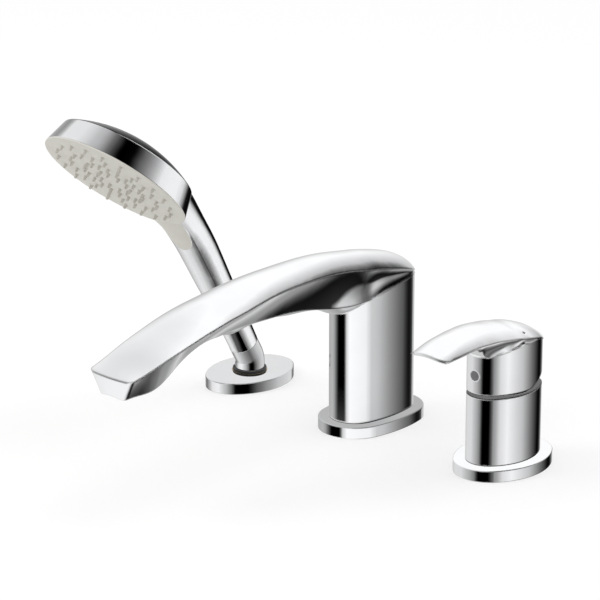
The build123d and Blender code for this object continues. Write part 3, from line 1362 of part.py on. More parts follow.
# The head: a disc with a plain band and a low crown, whose face looks down to the front
FACE_TILT = math.radians(HEAD_TILT)
FACE_CENTRE = Vector(HOLDER_X, -HEAD_CENTRE_FORWARD, HEAD_CENTRE_HEIGHT)
FACE_INWARD = Vector(0, math.sin(FACE_TILT), math.cos(FACE_TILT))
FACE_ALONG = Vector(0, math.cos(FACE_TILT), -math.sin(FACE_TILT))


def in_face(depth):
    """Plane parallel to the spray face, with its own y towards the handle."""
    return Plane(origin=FACE_CENTRE + FACE_INWARD * depth, x_dir=(1, 0, 0), z_dir=FACE_INWARD)


HEAD_SECTION = Plane(origin=FACE_CENTRE, x_dir=(1, 0, 0), z_dir=-FACE_ALONG)
HEAD_AXIS = Axis(FACE_CENTRE, FACE_INWARD)


def crown_block(front, rim_radius, band_radius, band, top):
    """Solid disc with a straight band and a domed back, in the head's place."""
    rise = top - band
    dome_radius = (band_radius**2 + rise**2) / (2 * rise)
    middle_x = band_radius / 2
    middle_y = top - dome_radius + math.sqrt(dome_radius**2 - middle_x**2)
    with BuildPart() as block:
        with BuildSketch(HEAD_SECTION):
            with BuildLine():
                Polyline((0, top), (0, front), (rim_radius, front), (band_radius, band))
                ThreePointArc((band_radius, band), (middle_x, middle_y), (0, top))
            make_face()
        revolve(axis=HEAD_AXIS)
    return block.part


def rims_in_order(piece):
    """Closed round edges of a piece of the head, from the face inwards."""
    rims = piece.edges().filter_by(lambda edge: edge.is_closed)
    return rims.sort_by(lambda edge: (edge @ 0 - FACE_CENTRE).dot(FACE_INWARD))


with BuildPart() as head_block:
    add(
        crown_block(
            FACE_FLANGE, HEAD_RADIUS, HEAD_RADIUS - HEAD_TAPER, HEAD_BAND, HEAD_BAND + HEAD_CROWN
        )
    )
    fillet(rims_in_order(head_block)[-1], HEAD_EDGE_RADIUS)

with BuildPart() as head_cavity:
    add(
        crown_block(
            -OVERRUN,
            HEAD_CAVITY_RADIUS,
            HEAD_CAVITY_RADIUS,
            HEAD_BAND - HEAD_WALL,
            HEAD_BAND + HEAD_CROWN - HEAD_WALL,
        )
    )

# The pale tongue: a layer of the handle's front, below the face
with BuildPart() as tongue:
    add(handle_block.part)
    add(handle_block.part.moved(Location(HANDLE_NORMAL * TONGUE_THICKNESS)), mode=Mode.SUBTRACT)
    with BuildSketch(
        Plane(origin=HANDLE_FOOT, x_dir=(1, 0, 0), z_dir=HANDLE_NORMAL)
    ) as tongue_outline:
        with BuildLine():
            Polyline(
                (TONGUE_END_RADIUS, -TONGUE_START),
                (TONGUE_TOP_HALF_WIDTH, -HANDLE_LENGTH),
                (TONGUE_TOP_HALF_WIDTH, -HANDLE_LENGTH - HEAD_BAND),
                (-TONGUE_TOP_HALF_WIDTH, -HANDLE_LENGTH - HEAD_BAND),
                (-TONGUE_TOP_HALF_WIDTH, -HANDLE_LENGTH),
                (-TONGUE_END_RADIUS, -TONGUE_START),
            )
            ThreePointArc(
                (-TONGUE_END_RADIUS, -TONGUE_START),
                (0, -TONGUE_START + TONGUE_END_RADIUS),
                (TONGUE_END_RADIUS, -TONGUE_START),
            )
        make_face()
    extrude(amount=-2 * HANDLE_BACK_RADIUS, mode=Mode.INTERSECT)
    with BuildSketch(in_face(-OVERRUN)):
        Circle(HEAD_RADIUS)
    extrude(amount=2 * HEAD_BAND, mode=Mode.SUBTRACT)
tongue.part.label = "tongue"
export_step(tongue.part, "parts/tongue.step")

PORT_PLACE = FACE_CENTRE + FACE_INWARD * PORT_DEPTH + FACE_ALONG * PORT_START
with BuildPart() as handset_body:
    add(handle_block.part)
    add(head_block.part)
    add(head_cavity.part, mode=Mode.SUBTRACT)
    with BuildSketch(in_face(-OVERRUN)):
        Circle(HEAD_RADIUS)
    extrude(amount=OVERRUN + FACE_FLANGE, mode=Mode.SUBTRACT)
    add(tongue.part, mode=Mode.SUBTRACT)
    with BuildSketch(square_to_handle(0)):
        Circle(INLET_PLUG_RADIUS)
    extrude(amount=INLET_PLUG_LENGTH, mode=Mode.SUBTRACT)
    with BuildSketch(square_to_handle(0)):
        Circle(HANDLE_BORE_RADIUS)
    extrude(amount=HANDLE_BORE_LENGTH, mode=Mode.SUBTRACT)
    with BuildSketch(Plane(origin=PORT_PLACE, x_dir=(1, 0, 0), z_dir=-FACE_ALONG)):
        Circle(PORT_BORE_RADIUS)
    extrude(amount=PORT_START - HEAD_CAVITY_RADIUS + HEAD_WALL, mode=Mode.SUBTRACT)
handset_body.part.label = "handset_body"
export_step(handset_body.part, "parts/handset_body.step")

with BuildPart() as handset_inlet:
    with BuildSketch(square_to_handle(-SPIGOT_LENGTH)):
        Circle(ELBOW_BORE_RADIUS - LINER_WALL - RUNNING_CLEARANCE)
    extrude(amount=SPIGOT_LENGTH)
    with BuildSketch(square_to_handle(0)):
        Circle(INLET_PLUG_RADIUS)
    extrude(amount=INLET_PLUG_LENGTH)
    with BuildSketch(square_to_handle(-SPIGOT_LENGTH)):
        Circle(HOSE_THREAD_RADIUS)
    extrude(amount=HOSE_THREAD_DEPTH, mode=Mode.SUBTRACT)
    with BuildSketch(square_to_handle(-SPIGOT_LENGTH)):
        Circle(INLET_WAY_RADIUS)
    extrude(amount=SPIGOT_LENGTH + INLET_PLUG_LENGTH, mode=Mode.SUBTRACT)
handset_inlet.part.label = "handset_inlet"
export_step(handset_inlet.part, "parts/handset_inlet.step")

with BuildPart() as filter_washer:
    with BuildSketch(square_to_handle(-SPIGOT_LENGTH + HOSE_THREAD_DEPTH - FILTER_THICKNESS)):
        Circle(HOSE_THREAD_RADIUS - THREAD_CLEARANCE)
        Circle(INLET_WAY_RADIUS, mode=Mode.SUBTRACT)
    extrude(amount=FILTER_THICKNESS)
filter_washer.part.label = "filter_washer"
export_step(filter_washer.part, "parts/filter_washer.step")

with BuildPart() as handset_tube:
    with BuildSketch(square_to_handle(INLET_PLUG_LENGTH)):
        Circle(HANDLE_TUBE_RADIUS)
        Circle(HANDLE_TUBE_RADIUS - HANDLE_TUBE_WALL, mode=Mode.SUBTRACT)
    extrude(amount=HANDLE_TUBE_LENGTH)
handset_tube.part.label = "handset_tube"
export_step(handset_tube.part, "parts/handset_tube.step")

# The spray face and what lies behind it. The nozzles stand in radial columns.
nozzle_rings = [(radius, NOZZLE_COLUMNS) for radius in NOZZLE_RING_RADII]
nozzle_rings.append((NOZZLE_INNER_RADIUS, NOZZLE_INNER_COUNT))
nozzle_places = [
    (radius * math.sin(turn), radius * math.cos(turn))
    for radius, count in nozzle_rings
    for turn in [math.radians(180 * (2 * column + 1) / count) for column in range(count)]
]

with BuildPart() as spray_face:
    with BuildSketch(in_face(0)):
        Circle(HEAD_RADIUS)
    extrude(amount=FACE_FLANGE)
    fillet(rims_in_order(spray_face)[0], FACE_EDGE_RADIUS)
    with BuildSketch(in_face(FACE_FLANGE)):
        Circle(HEAD_CAVITY_RADIUS - THREAD_CLEARANCE)
    extrude(amount=FACE_THICKNESS - FACE_FLANGE)
    with BuildSketch(in_face(0)):
        with Locations(*nozzle_places):
            Circle(NOZZLE_HOLE_RADIUS)
    extrude(amount=FACE_THICKNESS, mode=Mode.SUBTRACT)
spray_face.part.label = "spray_face"
export_step(spray_face.part, "parts/spray_face.step")

with BuildPart() as spray_nozzles:
    with BuildSketch(in_face(FACE_THICKNESS)):
        Circle(MEMBRANE_RADIUS)
    extrude(amount=MEMBRANE_THICKNESS)
    with BuildSketch(in_face(0)):
        with Locations(*nozzle_places):
            Circle(NOZZLE_BASE_RADIUS)
    extrude(amount=FACE_THICKNESS)
    with Locations(in_face(-NOZZLE_HEIGHT)):
        with Locations(*nozzle_places):
            Cone(NOZZLE_TIP_RADIUS, NOZZLE_BASE_RADIUS, NOZZLE_HEIGHT, align=ABOVE)
    with BuildSketch(in_face(-NOZZLE_HEIGHT)):
        with Locations(*nozzle_places):
            Circle(NOZZLE_BORE_RADIUS)
    extrude(amount=NOZZLE_HEIGHT + FACE_THICKNESS + MEMBRANE_THICKNESS, mode=Mode.SUBTRACT)
spray_nozzles.part.label = "spray_nozzles"
export_step(spray_nozzles.part, "parts/spray_nozzles.step")

NOZZLE_PLATE_DEPTH = FACE_THICKNESS + MEMBRANE_THICKNESS
with BuildPart() as nozzle_plate:
    with BuildSketch(in_face(NOZZLE_PLATE_DEPTH)):
        Circle(NOZZLE_PLATE_RADIUS)
        with Locations(*nozzle_places):
            Circle(NOZZLE_PLATE_HOLE_RADIUS, mode=Mode.SUBTRACT)
    extrude(amount=NOZZLE_PLATE_THICKNESS)
nozzle_plate.part.label = "nozzle_plate"
export_step(nozzle_plate.part, "parts/nozzle_plate.step")

with BuildPart() as spray_seal:
    with BuildSketch(in_face(NOZZLE_PLATE_DEPTH + NOZZLE_PLATE_THICKNESS)):
        Circle(HEAD_CAVITY_RADIUS)
        Circle(HEAD_CAVITY_RADIUS - SPRAY_SEAL_WIDTH, mode=Mode.SUBTRACT)
    extrude(amount=SPRAY_SEAL_HEIGHT)
spray_seal.part.label = "spray_seal"
export_step(spray_seal.part, "parts/spray_seal.step")
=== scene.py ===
import json
import math
import bpy
import bmesh
from mathutils import Matrix, Vector


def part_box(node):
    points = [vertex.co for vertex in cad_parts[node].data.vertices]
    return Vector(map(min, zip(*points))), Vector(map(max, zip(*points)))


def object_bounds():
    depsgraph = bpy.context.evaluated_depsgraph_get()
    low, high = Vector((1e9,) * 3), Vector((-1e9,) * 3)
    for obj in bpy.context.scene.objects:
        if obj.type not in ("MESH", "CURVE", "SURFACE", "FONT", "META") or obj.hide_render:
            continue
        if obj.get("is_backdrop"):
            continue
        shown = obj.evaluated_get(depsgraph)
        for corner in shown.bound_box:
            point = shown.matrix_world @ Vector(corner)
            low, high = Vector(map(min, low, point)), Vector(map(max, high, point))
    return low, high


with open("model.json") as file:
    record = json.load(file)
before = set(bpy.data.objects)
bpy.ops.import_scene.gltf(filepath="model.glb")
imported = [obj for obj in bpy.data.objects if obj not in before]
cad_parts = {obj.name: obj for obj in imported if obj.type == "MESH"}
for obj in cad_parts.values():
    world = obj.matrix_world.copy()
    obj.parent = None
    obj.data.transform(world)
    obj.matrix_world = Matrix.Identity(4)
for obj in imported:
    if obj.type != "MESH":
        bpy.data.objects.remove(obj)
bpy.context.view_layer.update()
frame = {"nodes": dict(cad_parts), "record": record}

nodes = frame["nodes"]

# Lengths are in metres and angles in degrees. Bearings run from +X over +Y.

# The camera, and where the photo shows the point at plate height on the spout pillar's axis
CAMERA_BEARING = 44.0
CAMERA_RISE = 18.5
CAMERA_DISTANCE = 2.2
FOCAL_PX = 3168.0
FRAME_PX = 600
PILLAR_FOOT_PX = (371.2, 408.8)
PLATE_TOP = 0.0082
SENSOR_MM = 36.0
FAR_CLIP = 20.0

# The three units
MIXER_X = 0.12
HOLDER_X = -0.119
UNIT_BORDER = 0.06

# Tone and gloss of the plating, and how far the shading rounds its edges
METAL_TONE = (0.86, 0.865, 0.875)
SMALL_EDGE = 0.0008
PLASTIC_EDGE = 0.0006
SPOUT_EDGE = 0.002
MIXER_EDGE = 0.0016

# Painted shade in the plating, standing in for the shade in the gap under the lever and at the feet on the
# plates: the height where the shade is full and the height where it has ended
PAINTED_SHADE_TONE = (0.02, 0.02, 0.021)
PLATE_FOOT_SHADE = (0.0083, 0.0092)
BODY_TOP_SHADE = (0.0554, 0.0549)
LEVER_RIM_SHADE = (0.0580, 0.0585)
COVER_SHADE = (0.0600, 0.0610)

# Light tents: their centres, and the elevations over which one ring of light gives way to another
TENT_HEIGHT = 0.05
SPOUT_CENTRE = (0, 0, TENT_HEIGHT)
MIXER_CENTRE = (MIXER_X, 0, TENT_HEIGHT)
HOLDER_CENTRE = (HOLDER_X, 0, 0.02)
HANDSET_CENTRE = (HOLDER_X, -0.08, 0.13)
LOW_TO_HIGH = (-8.0, 26.0)
LOW_TO_UNDER = (-34.0, -52.0)
SPOUT_LOW_TO_UNDER = (-20.0, -29.0)
EYE_GAMMA = 2.2
PLATING_SHARE = 0.87

# World, floor and lamps
WORLD_SEEN = 1.0
WORLD_FILL = 0.80
FLOOR_HALF = 6.0
FLOOR_DROP = 0.0002
FLOOR_TONE = 0.86
SHADOW_FADE = 0.6


class Shader:
    """A short way to write a node tree."""

    def __init__(self, tree):
        self.tree = tree
        tree.nodes.clear()

    def node(self, kind, **settings):
        made = self.tree.nodes.new(kind)
        for key, value in settings.items():
            setattr(made, key, value)
        return made

    def link(self, source, target):
        self.tree.links.new(source, target)

    def feed(self, slots, entries):
        """Give each socket its entry: a number, a colour or the output of another node."""
        for slot, entry in zip(slots, entries):
            if isinstance(entry, (int, float)):
                slot.default_value = entry
            elif isinstance(entry, tuple):
                slot.default_value = (*entry, 1.0)
            else:
                self.link(entry, slot)

    def math(self, operation, *values):
        made = self.node("ShaderNodeMath", operation=operation)
        self.feed(made.inputs, values)
        return made.outputs[0]

    def spread(self, value, low, high, to_low=0.0, to_high=1.0, smooth=True):
        curve = "SMOOTHSTEP" if smooth else "LINEAR"
        made = self.node("ShaderNodeMapRange", interpolation_type=curve)
        self.feed(made.inputs, (value, low, high, to_low, to_high))
        return made.outputs[0]

    def mix(self, share, low, high):
        made = self.node("ShaderNodeMix", data_type="FLOAT")
        self.feed((made.inputs[0], made.inputs[2], made.inputs[3]), (share, low, high))
        return made.outputs[0]

    def tint(self, share, low, high):
        made = self.node("ShaderNodeMix", data_type="RGBA")
        self.feed((made.inputs[0], made.inputs[6], made.inputs[7]), (share, low, high))
        return made.outputs[2]

    def place(self):
        return self.node("ShaderNodeTexCoord").outputs["Object"]

    def height(self):
        parts = self.node("ShaderNodeSeparateXYZ")
        self.link(self.place(), parts.inputs[0])
        return parts.outputs[2]

    def noise(self, scale, detail, roughness, stretch=None):
        place = self.place()
        if stretch:
            mapped = self.node("ShaderNodeMapping")
            mapped.inputs["Scale"].default_value = stretch
            self.link(place, mapped.inputs["Vector"])
            place = mapped.outputs[0]
        made = self.node("ShaderNodeTexNoise")
        made.inputs["Scale"].default_value = scale
        made.inputs["Detail"].default_value = detail
        made.inputs["Roughness"].default_value = roughness
        self.link(place, made.inputs["Vector"])
        return made.outputs["Fac"]

    def bump(self, height, distance, normal=None):
        made = self.node("ShaderNodeBump")
        made.inputs["Distance"].default_value = distance
        made.inputs["Strength"].default_value = 1.0
        self.link(height, made.inputs["Height"])
        if normal is not None:
            self.link(normal, made.inputs["Normal"])
        return made.outputs[0]


def material(name):
    made = bpy.data.materials.new(name)
    made.use_nodes = True
    return made, Shader(made.node_tree)


def surface(name, colour, metallic=0.0, roughness=0.4, specular=0.5):
    made, shader = material(name)
    out = shader.node("ShaderNodeOutputMaterial")
    body = shader.node("ShaderNodeBsdfPrincipled")
    body.inputs["Base Color"].default_value = (*colour, 1.0)
    body.inputs["Metallic"].default_value = metallic
    body.inputs["Roughness"].default_value = roughness
    body.inputs["Specular IOR Level"].default_value = specular
    shader.link(body.outputs[0], out.inputs["Surface"])
    return made, shader, body


def darker(tone, share):
    return tuple(part * share for part in tone)


def mottle(shader, body, first, second, scale, detail, low=0.35, high=0.65):
    """The base colour drifts between two close tones."""
    share = shader.spread(shader.noise(scale, detail, 0.55), low, high)
    shader.link(shader.tint(share, first, second), body.inputs["Base Color"])


def chrome(name, edge, tone=METAL_TONE, rough_low=0.012, rough_high=0.05, wave=0.000012, painted_shades=()):
    """Mirror plate with a faint drift of tone, a haze that comes and goes and the slow waves of polished
    metal. Its edges are rounded in the shading, and each entry of painted shade darkens the plating towards
    one side of a height, as painted shade in a gap or at a foot on the plate."""
    made, shader, body = surface(name, tone, metallic=1.0, roughness=rough_low)
    drift = shader.spread(shader.noise(34.0, 3.0, 0.55), 0.35, 0.65)
    plate = shader.tint(drift, tone, darker(tone, 0.975))
    height = shader.height()
    # Painted shade: the colour goes near black past each given height, where the gaps and feet lie in shade
    for dark_at, clear_at in painted_shades:
        share = shader.spread(height, dark_at, clear_at)
        plate = shader.tint(share, PAINTED_SHADE_TONE, plate)
    shader.link(plate, body.inputs["Base Color"])
    haze = shader.spread(shader.noise(55.0, 4.0, 0.6), 0.42, 0.75)
    rough = shader.spread(haze, 0.0, 1.0, rough_low, rough_high, smooth=False)
    shader.link(rough, body.inputs["Roughness"])
    slow = shader.noise(22.0, 1.0, 0.4)
    rounded = shader.node("ShaderNodeBevel", samples=6)
    rounded.inputs["Radius"].default_value = edge
    shader.link(shader.bump(slow, wave, rounded.outputs[0]), body.inputs["Normal"])
    return made


def turned(name, light, dark, pitch, roughness=0.28):
    """Turned metal: rings left by the tool along the height, with a patchy oxide."""
    made, shader, body = surface(name, light, metallic=1.0, roughness=roughness)
    mottle(shader, body, light, dark, 90.0, 5.0, 0.4, 0.7)
    rings = shader.math("SINE", shader.math("MULTIPLY", shader.height(), 2 * math.pi / pitch))
    patches = shader.noise(160.0, 4.0, 0.6)
    rough = shader.spread(patches, 0.3, 0.7, roughness * 0.8, roughness * 1.4)
    shader.link(rough, body.inputs["Roughness"])
    shader.link(shader.bump(rings, pitch * 0.12), body.inputs["Normal"])
    return made


def brushed(name, tone, roughness=0.3):
    made, shader, body = surface(name, tone, metallic=1.0, roughness=roughness)
    mottle(shader, body, tone, darker(tone, 0.86), 60.0, 4.0)
    grain = shader.noise(300.0, 4.0, 0.6, (1.0, 12.0, 12.0))
    rough = shader.spread(grain, 0.25, 0.75, roughness * 0.75, roughness * 1.35)
    shader.link(rough, body.inputs["Roughness"])
    shader.link(shader.bump(grain, 0.00002), body.inputs["Normal"])
    return made


def drawn_copper(name):
    made, shader, body = surface(name, (0.72, 0.33, 0.2), metallic=1.0, roughness=0.26)
    mottle(shader, body, (0.76, 0.36, 0.22), (0.5, 0.21, 0.13), 70.0, 5.0, 0.42, 0.72)
    drawn = shader.noise(260.0, 3.0, 0.6, (9.0, 9.0, 0.5))
    shader.link(shader.spread(drawn, 0.3, 0.7, 0.2, 0.36), body.inputs["Roughness"])
    shader.link(shader.bump(drawn, 0.00002), body.inputs["Normal"])
    return made


def moulded(name, light, dark, roughness, grain_scale, grain_depth, specular):
    """Moulded plastic, ceramic or rubber: close tones, uneven gloss and a fine grain."""
    made, shader, body = surface(name, light, roughness=roughness, specular=specular)
    mottle(shader, body, light, dark, 48.0, 4.0, 0.38, 0.7)
    patches = shader.noise(120.0, 3.0, 0.6)
    rough = shader.spread(patches, 0.3, 0.7, roughness * 0.85, roughness * 1.15)
    shader.link(rough, body.inputs["Roughness"])
    grain = shader.noise(grain_scale, 2.0, 0.5)
    shader.link(shader.bump(grain, grain_depth), body.inputs["Normal"])
    return made


finishes = {
    "chrome": chrome("finish_chrome", SMALL_EDGE),
    "chrome_plastic": chrome("finish_chrome_plastic", PLASTIC_EDGE, tone=(0.85, 0.855, 0.865),
                             rough_low=0.02, rough_high=0.07, wave=0.00002),
    "brass": turned("finish_brass", (0.72, 0.52, 0.22), (0.52, 0.35, 0.14), pitch=0.0015),
    "steel": brushed("finish_steel", (0.58, 0.58, 0.59)),
    "copper": drawn_copper("finish_copper"),
    "ceramic": moulded("finish_ceramic", (0.78, 0.77, 0.73), (0.72, 0.71, 0.67),
                       roughness=0.22, grain_scale=900.0, grain_depth=0.000004, specular=0.6),
    "black_rubber": moulded("finish_black_rubber", (0.012, 0.012, 0.013), (0.022, 0.022, 0.023),
                            roughness=0.55, grain_scale=700.0, grain_depth=0.00002, specular=0.35),
    "pale_rubber": moulded("finish_pale_rubber", (0.60, 0.585, 0.53), (0.56, 0.545, 0.49),
                           roughness=0.5, grain_scale=900.0, grain_depth=0.00001, specular=0.35),
    "pale_plastic": moulded("finish_pale_plastic", (0.68, 0.665, 0.60), (0.65, 0.635, 0.57),
                            roughness=0.42, grain_scale=1100.0, grain_depth=0.000008, specular=0.4),
    "white_plastic": moulded("finish_white_plastic", (0.74, 0.74, 0.71), (0.69, 0.69, 0.66),
                             roughness=0.45, grain_scale=900.0, grain_depth=0.000012, specular=0.45),
    "black_plastic": moulded("finish_black_plastic", (0.02, 0.02, 0.021), (0.035, 0.035, 0.036),
                             roughness=0.4, grain_scale=900.0, grain_depth=0.000012, specular=0.45),
    "grey_plastic": moulded("finish_grey_plastic", (0.16, 0.16, 0.165), (0.19, 0.19, 0.195),
                            roughness=0.3, grain_scale=900.0, grain_depth=0.000006, specular=0.5),
    "index_mark": moulded("finish_index_mark", (0.10, 0.10, 0.105), (0.14, 0.14, 0.145),
                          roughness=0.35, grain_scale=900.0, grain_depth=0.00001, specular=0.4),
}

# Painted shade: the cover is dark from top to bottom, and so is the top face of the mixer's body, as shade in
# the gap under the lever. The lever is dark below 58 mm, and the spout's and mixer's bodies have a dark line
# at the plate as painted contact shade.
painted_shade_finishes = {
    "spout_body": chrome("finish_chrome_spout_painted_shade", SPOUT_EDGE, painted_shades=[PLATE_FOOT_SHADE]),
    "mixer_body": chrome("finish_chrome_mixer_painted_shade", MIXER_EDGE, painted_shades=[PLATE_FOOT_SHADE, BODY_TOP_SHADE]),
    "lever": chrome("finish_chrome_lever_painted_shade", MIXER_EDGE, painted_shades=[LEVER_RIM_SHADE]),
    "cartridge_cover": chrome("finish_chrome_cover_painted_shade", MIXER_EDGE, painted_shades=[COVER_SHADE]),
}

slot_of = {part["node"]: part["material_slot"] for part in frame["record"]["subparts"]}
for name, obj in nodes.items():
    finish = painted_shade_finishes.get(name) or finishes[slot_of[name]]
    for place in obj.material_slots:
        place.material = finish


def from_direction(shader, centre):
    """Bearing as a share of a turn, and elevation in degrees, of a place seen from the centre."""
    shift = shader.node("ShaderNodeVectorMath", operation="SUBTRACT")
    shader.link(shader.node("ShaderNodeNewGeometry").outputs["Position"], shift.inputs[0])
    shift.inputs[1].default_value = centre
    unit = shader.node("ShaderNodeVectorMath", operation="NORMALIZE")
    shader.link(shift.outputs[0], unit.inputs[0])
    parts = shader.node("ShaderNodeSeparateXYZ")
    shader.link(unit.outputs[0], parts.inputs[0])
    angle = shader.math("ARCTAN2", parts.outputs[1], parts.outputs[0])
    turn = shader.math("DIVIDE", angle, 2 * math.pi)
    turn = shader.math("FRACT", shader.math("ADD", turn, 1.0))
    rise = shader.math("DEGREES", shader.math("ARCSINE", parts.outputs[2]))
    return turn, rise


def ring(shader, turn, stops):
    """Brightness round the tent. Each stop is a bearing, with how bright the plating looks there."""
    made = shader.node("ShaderNodeValToRGB")
    ramp = made.color_ramp
    ramp.interpolation = "LINEAR"
    while len(ramp.elements) > 1:
        ramp.elements.remove(ramp.elements[-1])
    for count, (bearing, seen) in enumerate(stops):
        element = ramp.elements[0] if count == 0 else ramp.elements.new(bearing / 360)
        element.position = bearing / 360
        element.color = (seen, seen, seen, 1.0)
    shader.link(turn, made.inputs[0])
    light = shader.math("POWER", made.outputs[0], EYE_GAMMA)
    return shader.math("DIVIDE", light, PLATING_SHARE)


def tent(name, radius, centre, receivers, low, high, under, low_to_under=LOW_TO_UNDER):
    """A soft light tent round one unit, seen only as the reflection in that unit's plated pieces. It has a
    low, a high and an under ring, which give way to each other over a range of elevations."""
    ball = bpy.data.meshes.new(name)
    shape = bmesh.new()
    bmesh.ops.create_icosphere(shape, subdivisions=4, radius=radius)
    shape.to_mesh(ball)
    shape.free()
    obj = bpy.data.objects.new(name, ball)
    bpy.context.scene.collection.objects.link(obj)
    made, shader = material(name)
    turn, rise = from_direction(shader, centre)
    low_ring = ring(shader, turn, low)
    high_ring = ring(shader, turn, high)
    under_ring = ring(shader, turn, under)
    level = shader.mix(shader.spread(rise, *LOW_TO_HIGH), low_ring, high_ring)
    level = shader.mix(shader.spread(rise, *low_to_under), level, under_ring)
    glow = shader.node("ShaderNodeEmission")
    shader.link(level, glow.inputs["Color"])
    clear = shader.node("ShaderNodeBsdfTransparent")
    both = shader.node("ShaderNodeAddShader")
    shader.link(glow.outputs[0], both.inputs[0])
    shader.link(clear.outputs[0], both.inputs[1])
    out = shader.node("ShaderNodeOutputMaterial")
    shader.link(both.outputs[0], out.inputs["Surface"])
    made.cycles.emission_sampling = "NONE"
    ball.materials.append(made)
    obj.visible_camera = False
    obj.visible_diffuse = False
    obj.visible_shadow = False
    obj.visible_transmission = False
    group = bpy.data.collections.new(name + "_lit")
    for member in receivers:
        group.objects.link(nodes[member])
    obj.light_linking.receiver_collection = group
    obj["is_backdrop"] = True


# Each tent's rings of light: pairs of a bearing and a brightness, in steps of a twentieth. They put the
# bands of light and dark in the plating about where the photo shows them.
SPOUT_LOW = [(0, .95), (30, .75), (60, .35), (69, .10), (85, .30), (92, .70), (125, .85), (150, .65),
             (195, .70), (210, .60), (226, .30), (236, 0), (262, 0), (268, .35), (274, .80), (288, 1),
             (360, .95)]
SPOUT_HIGH = [(0, .10), (65, .05), (76, .15), (98, .75), (125, 1), (145, 1), (200, .65), (320, .60),
              (360, .10)]
SPOUT_UNDER = [(0, .40), (20, .20), (60, .10), (84, .55), (96, .60), (112, .80), (124, .60), (150, .80),
               (205, .95), (285, .95), (330, .80), (360, .40)]
MIXER_LOW = [(0, .95), (35, .75), (75, .25), (88, .05), (96, .10), (120, .85), (140, .75), (180, .85),
             (215, .85), (250, .65), (265, .50), (280, 0), (309, 0), (344, .85), (360, .95)]
MIXER_HIGH = [(0, .15), (30, .20), (50, .35), (66, .75), (110, 1), (150, 1), (260, .85), (320, .60),
              (360, .15)]
MIXER_UNDER = [(0, .60), (20, .35), (60, .45), (90, .30), (120, .70), (200, .90), (340, .80), (360, .60)]
HOLDER_LOW = [(0, .35), (20, .55), (50, .75), (98, .85), (115, .35), (120, .35), (134, .80), (146, .85),
              (165, .50), (178, .45), (218, .90), (250, .95), (285, .70), (305, .45), (322, 0), (340, 0),
              (360, .35)]
HOLDER_HIGH = [(0, .70), (30, .30), (45, .60), (60, .80), (150, .90), (200, .85), (225, .65), (250, .30),
               (265, .65), (280, .85), (310, .40), (330, .70), (360, .70)]
HOLDER_UNDER = [(0, .40), (60, .80), (130, .60), (200, .85), (300, .60), (360, .40)]
HANDSET_LOW = [(0, .30), (14, .50), (42, .95), (66, .95), (78, .85), (88, .55), (97, .10), (114, .05),
               (134, .55), (170, .85), (186, .90), (210, .80), (242, .35), (270, .55), (300, .30), (330, .20),
               (360, .30)]
HANDSET_HIGH = [(0, 0), (12, .05), (20, .35), (42, .90), (80, .90), (100, .10), (153, .10), (169, .90),
                (184, .90), (205, .75), (300, .50), (335, .35), (350, .20), (360, 0)]
HANDSET_UNDER = [(0, .10), (24, .70), (50, .85), (75, .65), (100, .30), (180, .90), (200, .85), (222, .65),
                 (240, .35), (280, .30), (320, 0), (345, 0), (360, .10)]
PLATE_HIGH = [(0, .50), (60, .50), (170, .80), (220, .75), (300, .60), (360, .50)]
EVEN = [(0, .80), (120, .90), (240, .70), (360, .80)]

plated = {"chrome", "chrome_plastic"}
units = {"spout": [], "mixer": [], "holder": [], "handset": []}
rest = []
for name in nodes:
    low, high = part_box(name)
    middle = (low.x + high.x) / 2
    if slot_of[name] not in plated:
        rest.append(name)
    elif name.startswith("handset"):
        units["handset"].append(name)
    elif middle < -UNIT_BORDER:
        units["holder"].append(name)
    elif middle > UNIT_BORDER:
        units["mixer"].append(name)
    elif name != "spout_plate":
        units["spout"].append(name)

tent("tent_rest", 3.2, SPOUT_CENTRE, rest, EVEN, EVEN, EVEN)
tent("tent_spout", 3.4, SPOUT_CENTRE, units["spout"], SPOUT_LOW, SPOUT_HIGH, SPOUT_UNDER, SPOUT_LOW_TO_UNDER)
tent("tent_spout_plate", 3.5, SPOUT_CENTRE, ["spout_plate"], SPOUT_LOW, PLATE_HIGH, SPOUT_UNDER)
tent("tent_mixer", 3.6, MIXER_CENTRE, units["mixer"], MIXER_LOW, MIXER_HIGH, MIXER_UNDER)
tent("tent_holder", 3.8, HOLDER_CENTRE, units["holder"], HOLDER_LOW, HOLDER_HIGH, HOLDER_UNDER)
tent("tent_handset", 4.0, HANDSET_CENTRE, units["handset"], HANDSET_LOW, HANDSET_HIGH, HANDSET_UNDER)

# Only the holder's ring is mirrored in the plating. No other piece is, not even in its own unit.
mirrored = {"holder_ring"}
for name, obj in nodes.items():
    if name not in mirrored:
        obj.visible_glossy = False


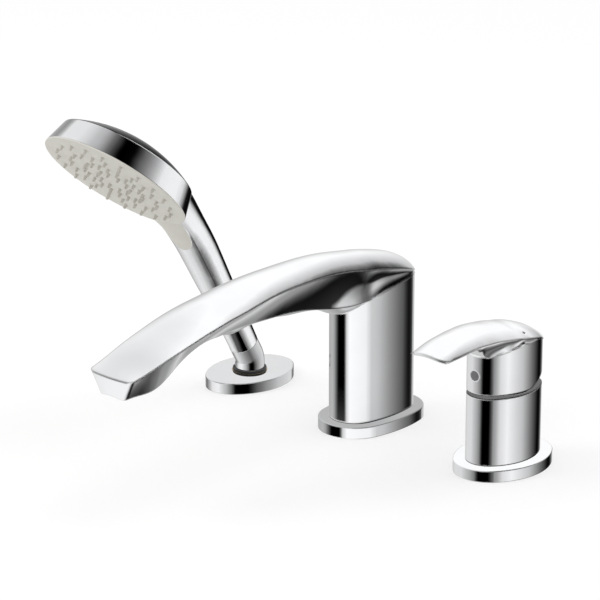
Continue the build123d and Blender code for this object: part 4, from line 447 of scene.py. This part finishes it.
def floor():
    """A white floor. The camera sees its shadow faded, and the plating doesn't mirror it."""
    mesh = bpy.data.meshes.new("floor")
    shape = bmesh.new()
    drop = Matrix.Translation((0, 0, -FLOOR_DROP))
    bmesh.ops.create_grid(shape, x_segments=1, y_segments=1, size=FLOOR_HALF, matrix=drop)
    shape.to_mesh(mesh)
    shape.free()
    obj = bpy.data.objects.new("floor", mesh)
    bpy.context.scene.collection.objects.link(obj)
    made, shader = material("floor_white")
    out = shader.node("ShaderNodeOutputMaterial")
    seen = shader.node("ShaderNodeLightPath").outputs["Is Camera Ray"]
    tone = shader.tint(seen, (FLOOR_TONE, FLOOR_TONE, FLOOR_TONE), (1.0, 1.0, 1.0))
    flat = shader.node("ShaderNodeBsdfDiffuse")
    shader.link(tone, flat.inputs["Color"])
    white = shader.node("ShaderNodeEmission")
    both = shader.node("ShaderNodeMixShader")
    shader.link(shader.math("MULTIPLY", seen, SHADOW_FADE), both.inputs[0])
    shader.link(flat.outputs[0], both.inputs[1])
    shader.link(white.outputs[0], both.inputs[2])
    shader.link(both.outputs[0], out.inputs["Surface"])
    mesh.materials.append(made)
    obj.visible_glossy = False
    obj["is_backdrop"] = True


def studio():
    """The world: white to the camera, a fill to matt surfaces and nothing to the plating."""
    world = bpy.data.worlds.new("studio")
    bpy.context.scene.world = world
    world.use_nodes = True
    shader = Shader(world.node_tree)
    out = shader.node("ShaderNodeOutputWorld")
    path = shader.node("ShaderNodeLightPath")
    shown = shader.math("MAXIMUM", path.outputs["Is Camera Ray"], path.outputs["Is Transmission Ray"])
    back = shader.node("ShaderNodeBackground")
    back.inputs["Color"].default_value = (1.0, 1.0, 1.0, 1.0)
    level = shader.mix(shown, WORLD_FILL, WORLD_SEEN)
    level = shader.mix(path.outputs["Is Glossy Ray"], level, 0.0)
    shader.link(level, back.inputs["Strength"])
    shader.link(back.outputs[0], out.inputs["Surface"])


def lamp(name, place, aim, size, power):
    made = bpy.data.lights.new(name, "AREA")
    made.shape = "DISK"
    made.size = size
    made.energy = power
    obj = bpy.data.objects.new(name, made)
    obj.location = place
    obj.rotation_euler = (Vector(aim) - Vector(place)).to_track_quat("-Z", "Y").to_euler()
    bpy.context.scene.collection.objects.link(obj)
    obj.visible_glossy = False


floor()
studio()
lamp("key", place=(-1.1, -1.5, 1.9), aim=(0, 0, 0.08), size=1.1, power=14.0)
lamp("top", place=(0.5, 0.7, 2.4), aim=(0, 0, 0.05), size=1.6, power=10.0)


def camera():
    turn, rise = math.radians(CAMERA_BEARING), math.radians(CAMERA_RISE)
    right = Vector((math.cos(turn), math.sin(turn), 0))
    back = Vector((math.sin(turn) * math.cos(rise), -math.cos(turn) * math.cos(rise), math.sin(rise)))
    up = back.cross(right)
    shift_right = (FRAME_PX / 2 - PILLAR_FOOT_PX[0]) * CAMERA_DISTANCE / FOCAL_PX
    shift_up = (PILLAR_FOOT_PX[1] - FRAME_PX / 2) * CAMERA_DISTANCE / FOCAL_PX
    eye = Vector((0, 0, PLATE_TOP)) + back * CAMERA_DISTANCE + right * shift_right + up * shift_up
    view = bpy.data.cameras.new("view")
    view.sensor_width = SENSOR_MM
    view.lens = FOCAL_PX / FRAME_PX * SENSOR_MM
    view.clip_end = FAR_CLIP
    obj = bpy.data.objects.new("view", view)
    obj.matrix_world = Matrix((
        (right.x, up.x, back.x, eye.x),
        (right.y, up.y, back.y, eye.y),
        (right.z, up.z, back.z, eye.z),
        (0, 0, 0, 1)))
    bpy.context.scene.collection.objects.link(obj)
    bpy.context.scene.camera = obj


camera()
bpy.context.scene.view_settings.view_transform = "Standard"

low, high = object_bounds()
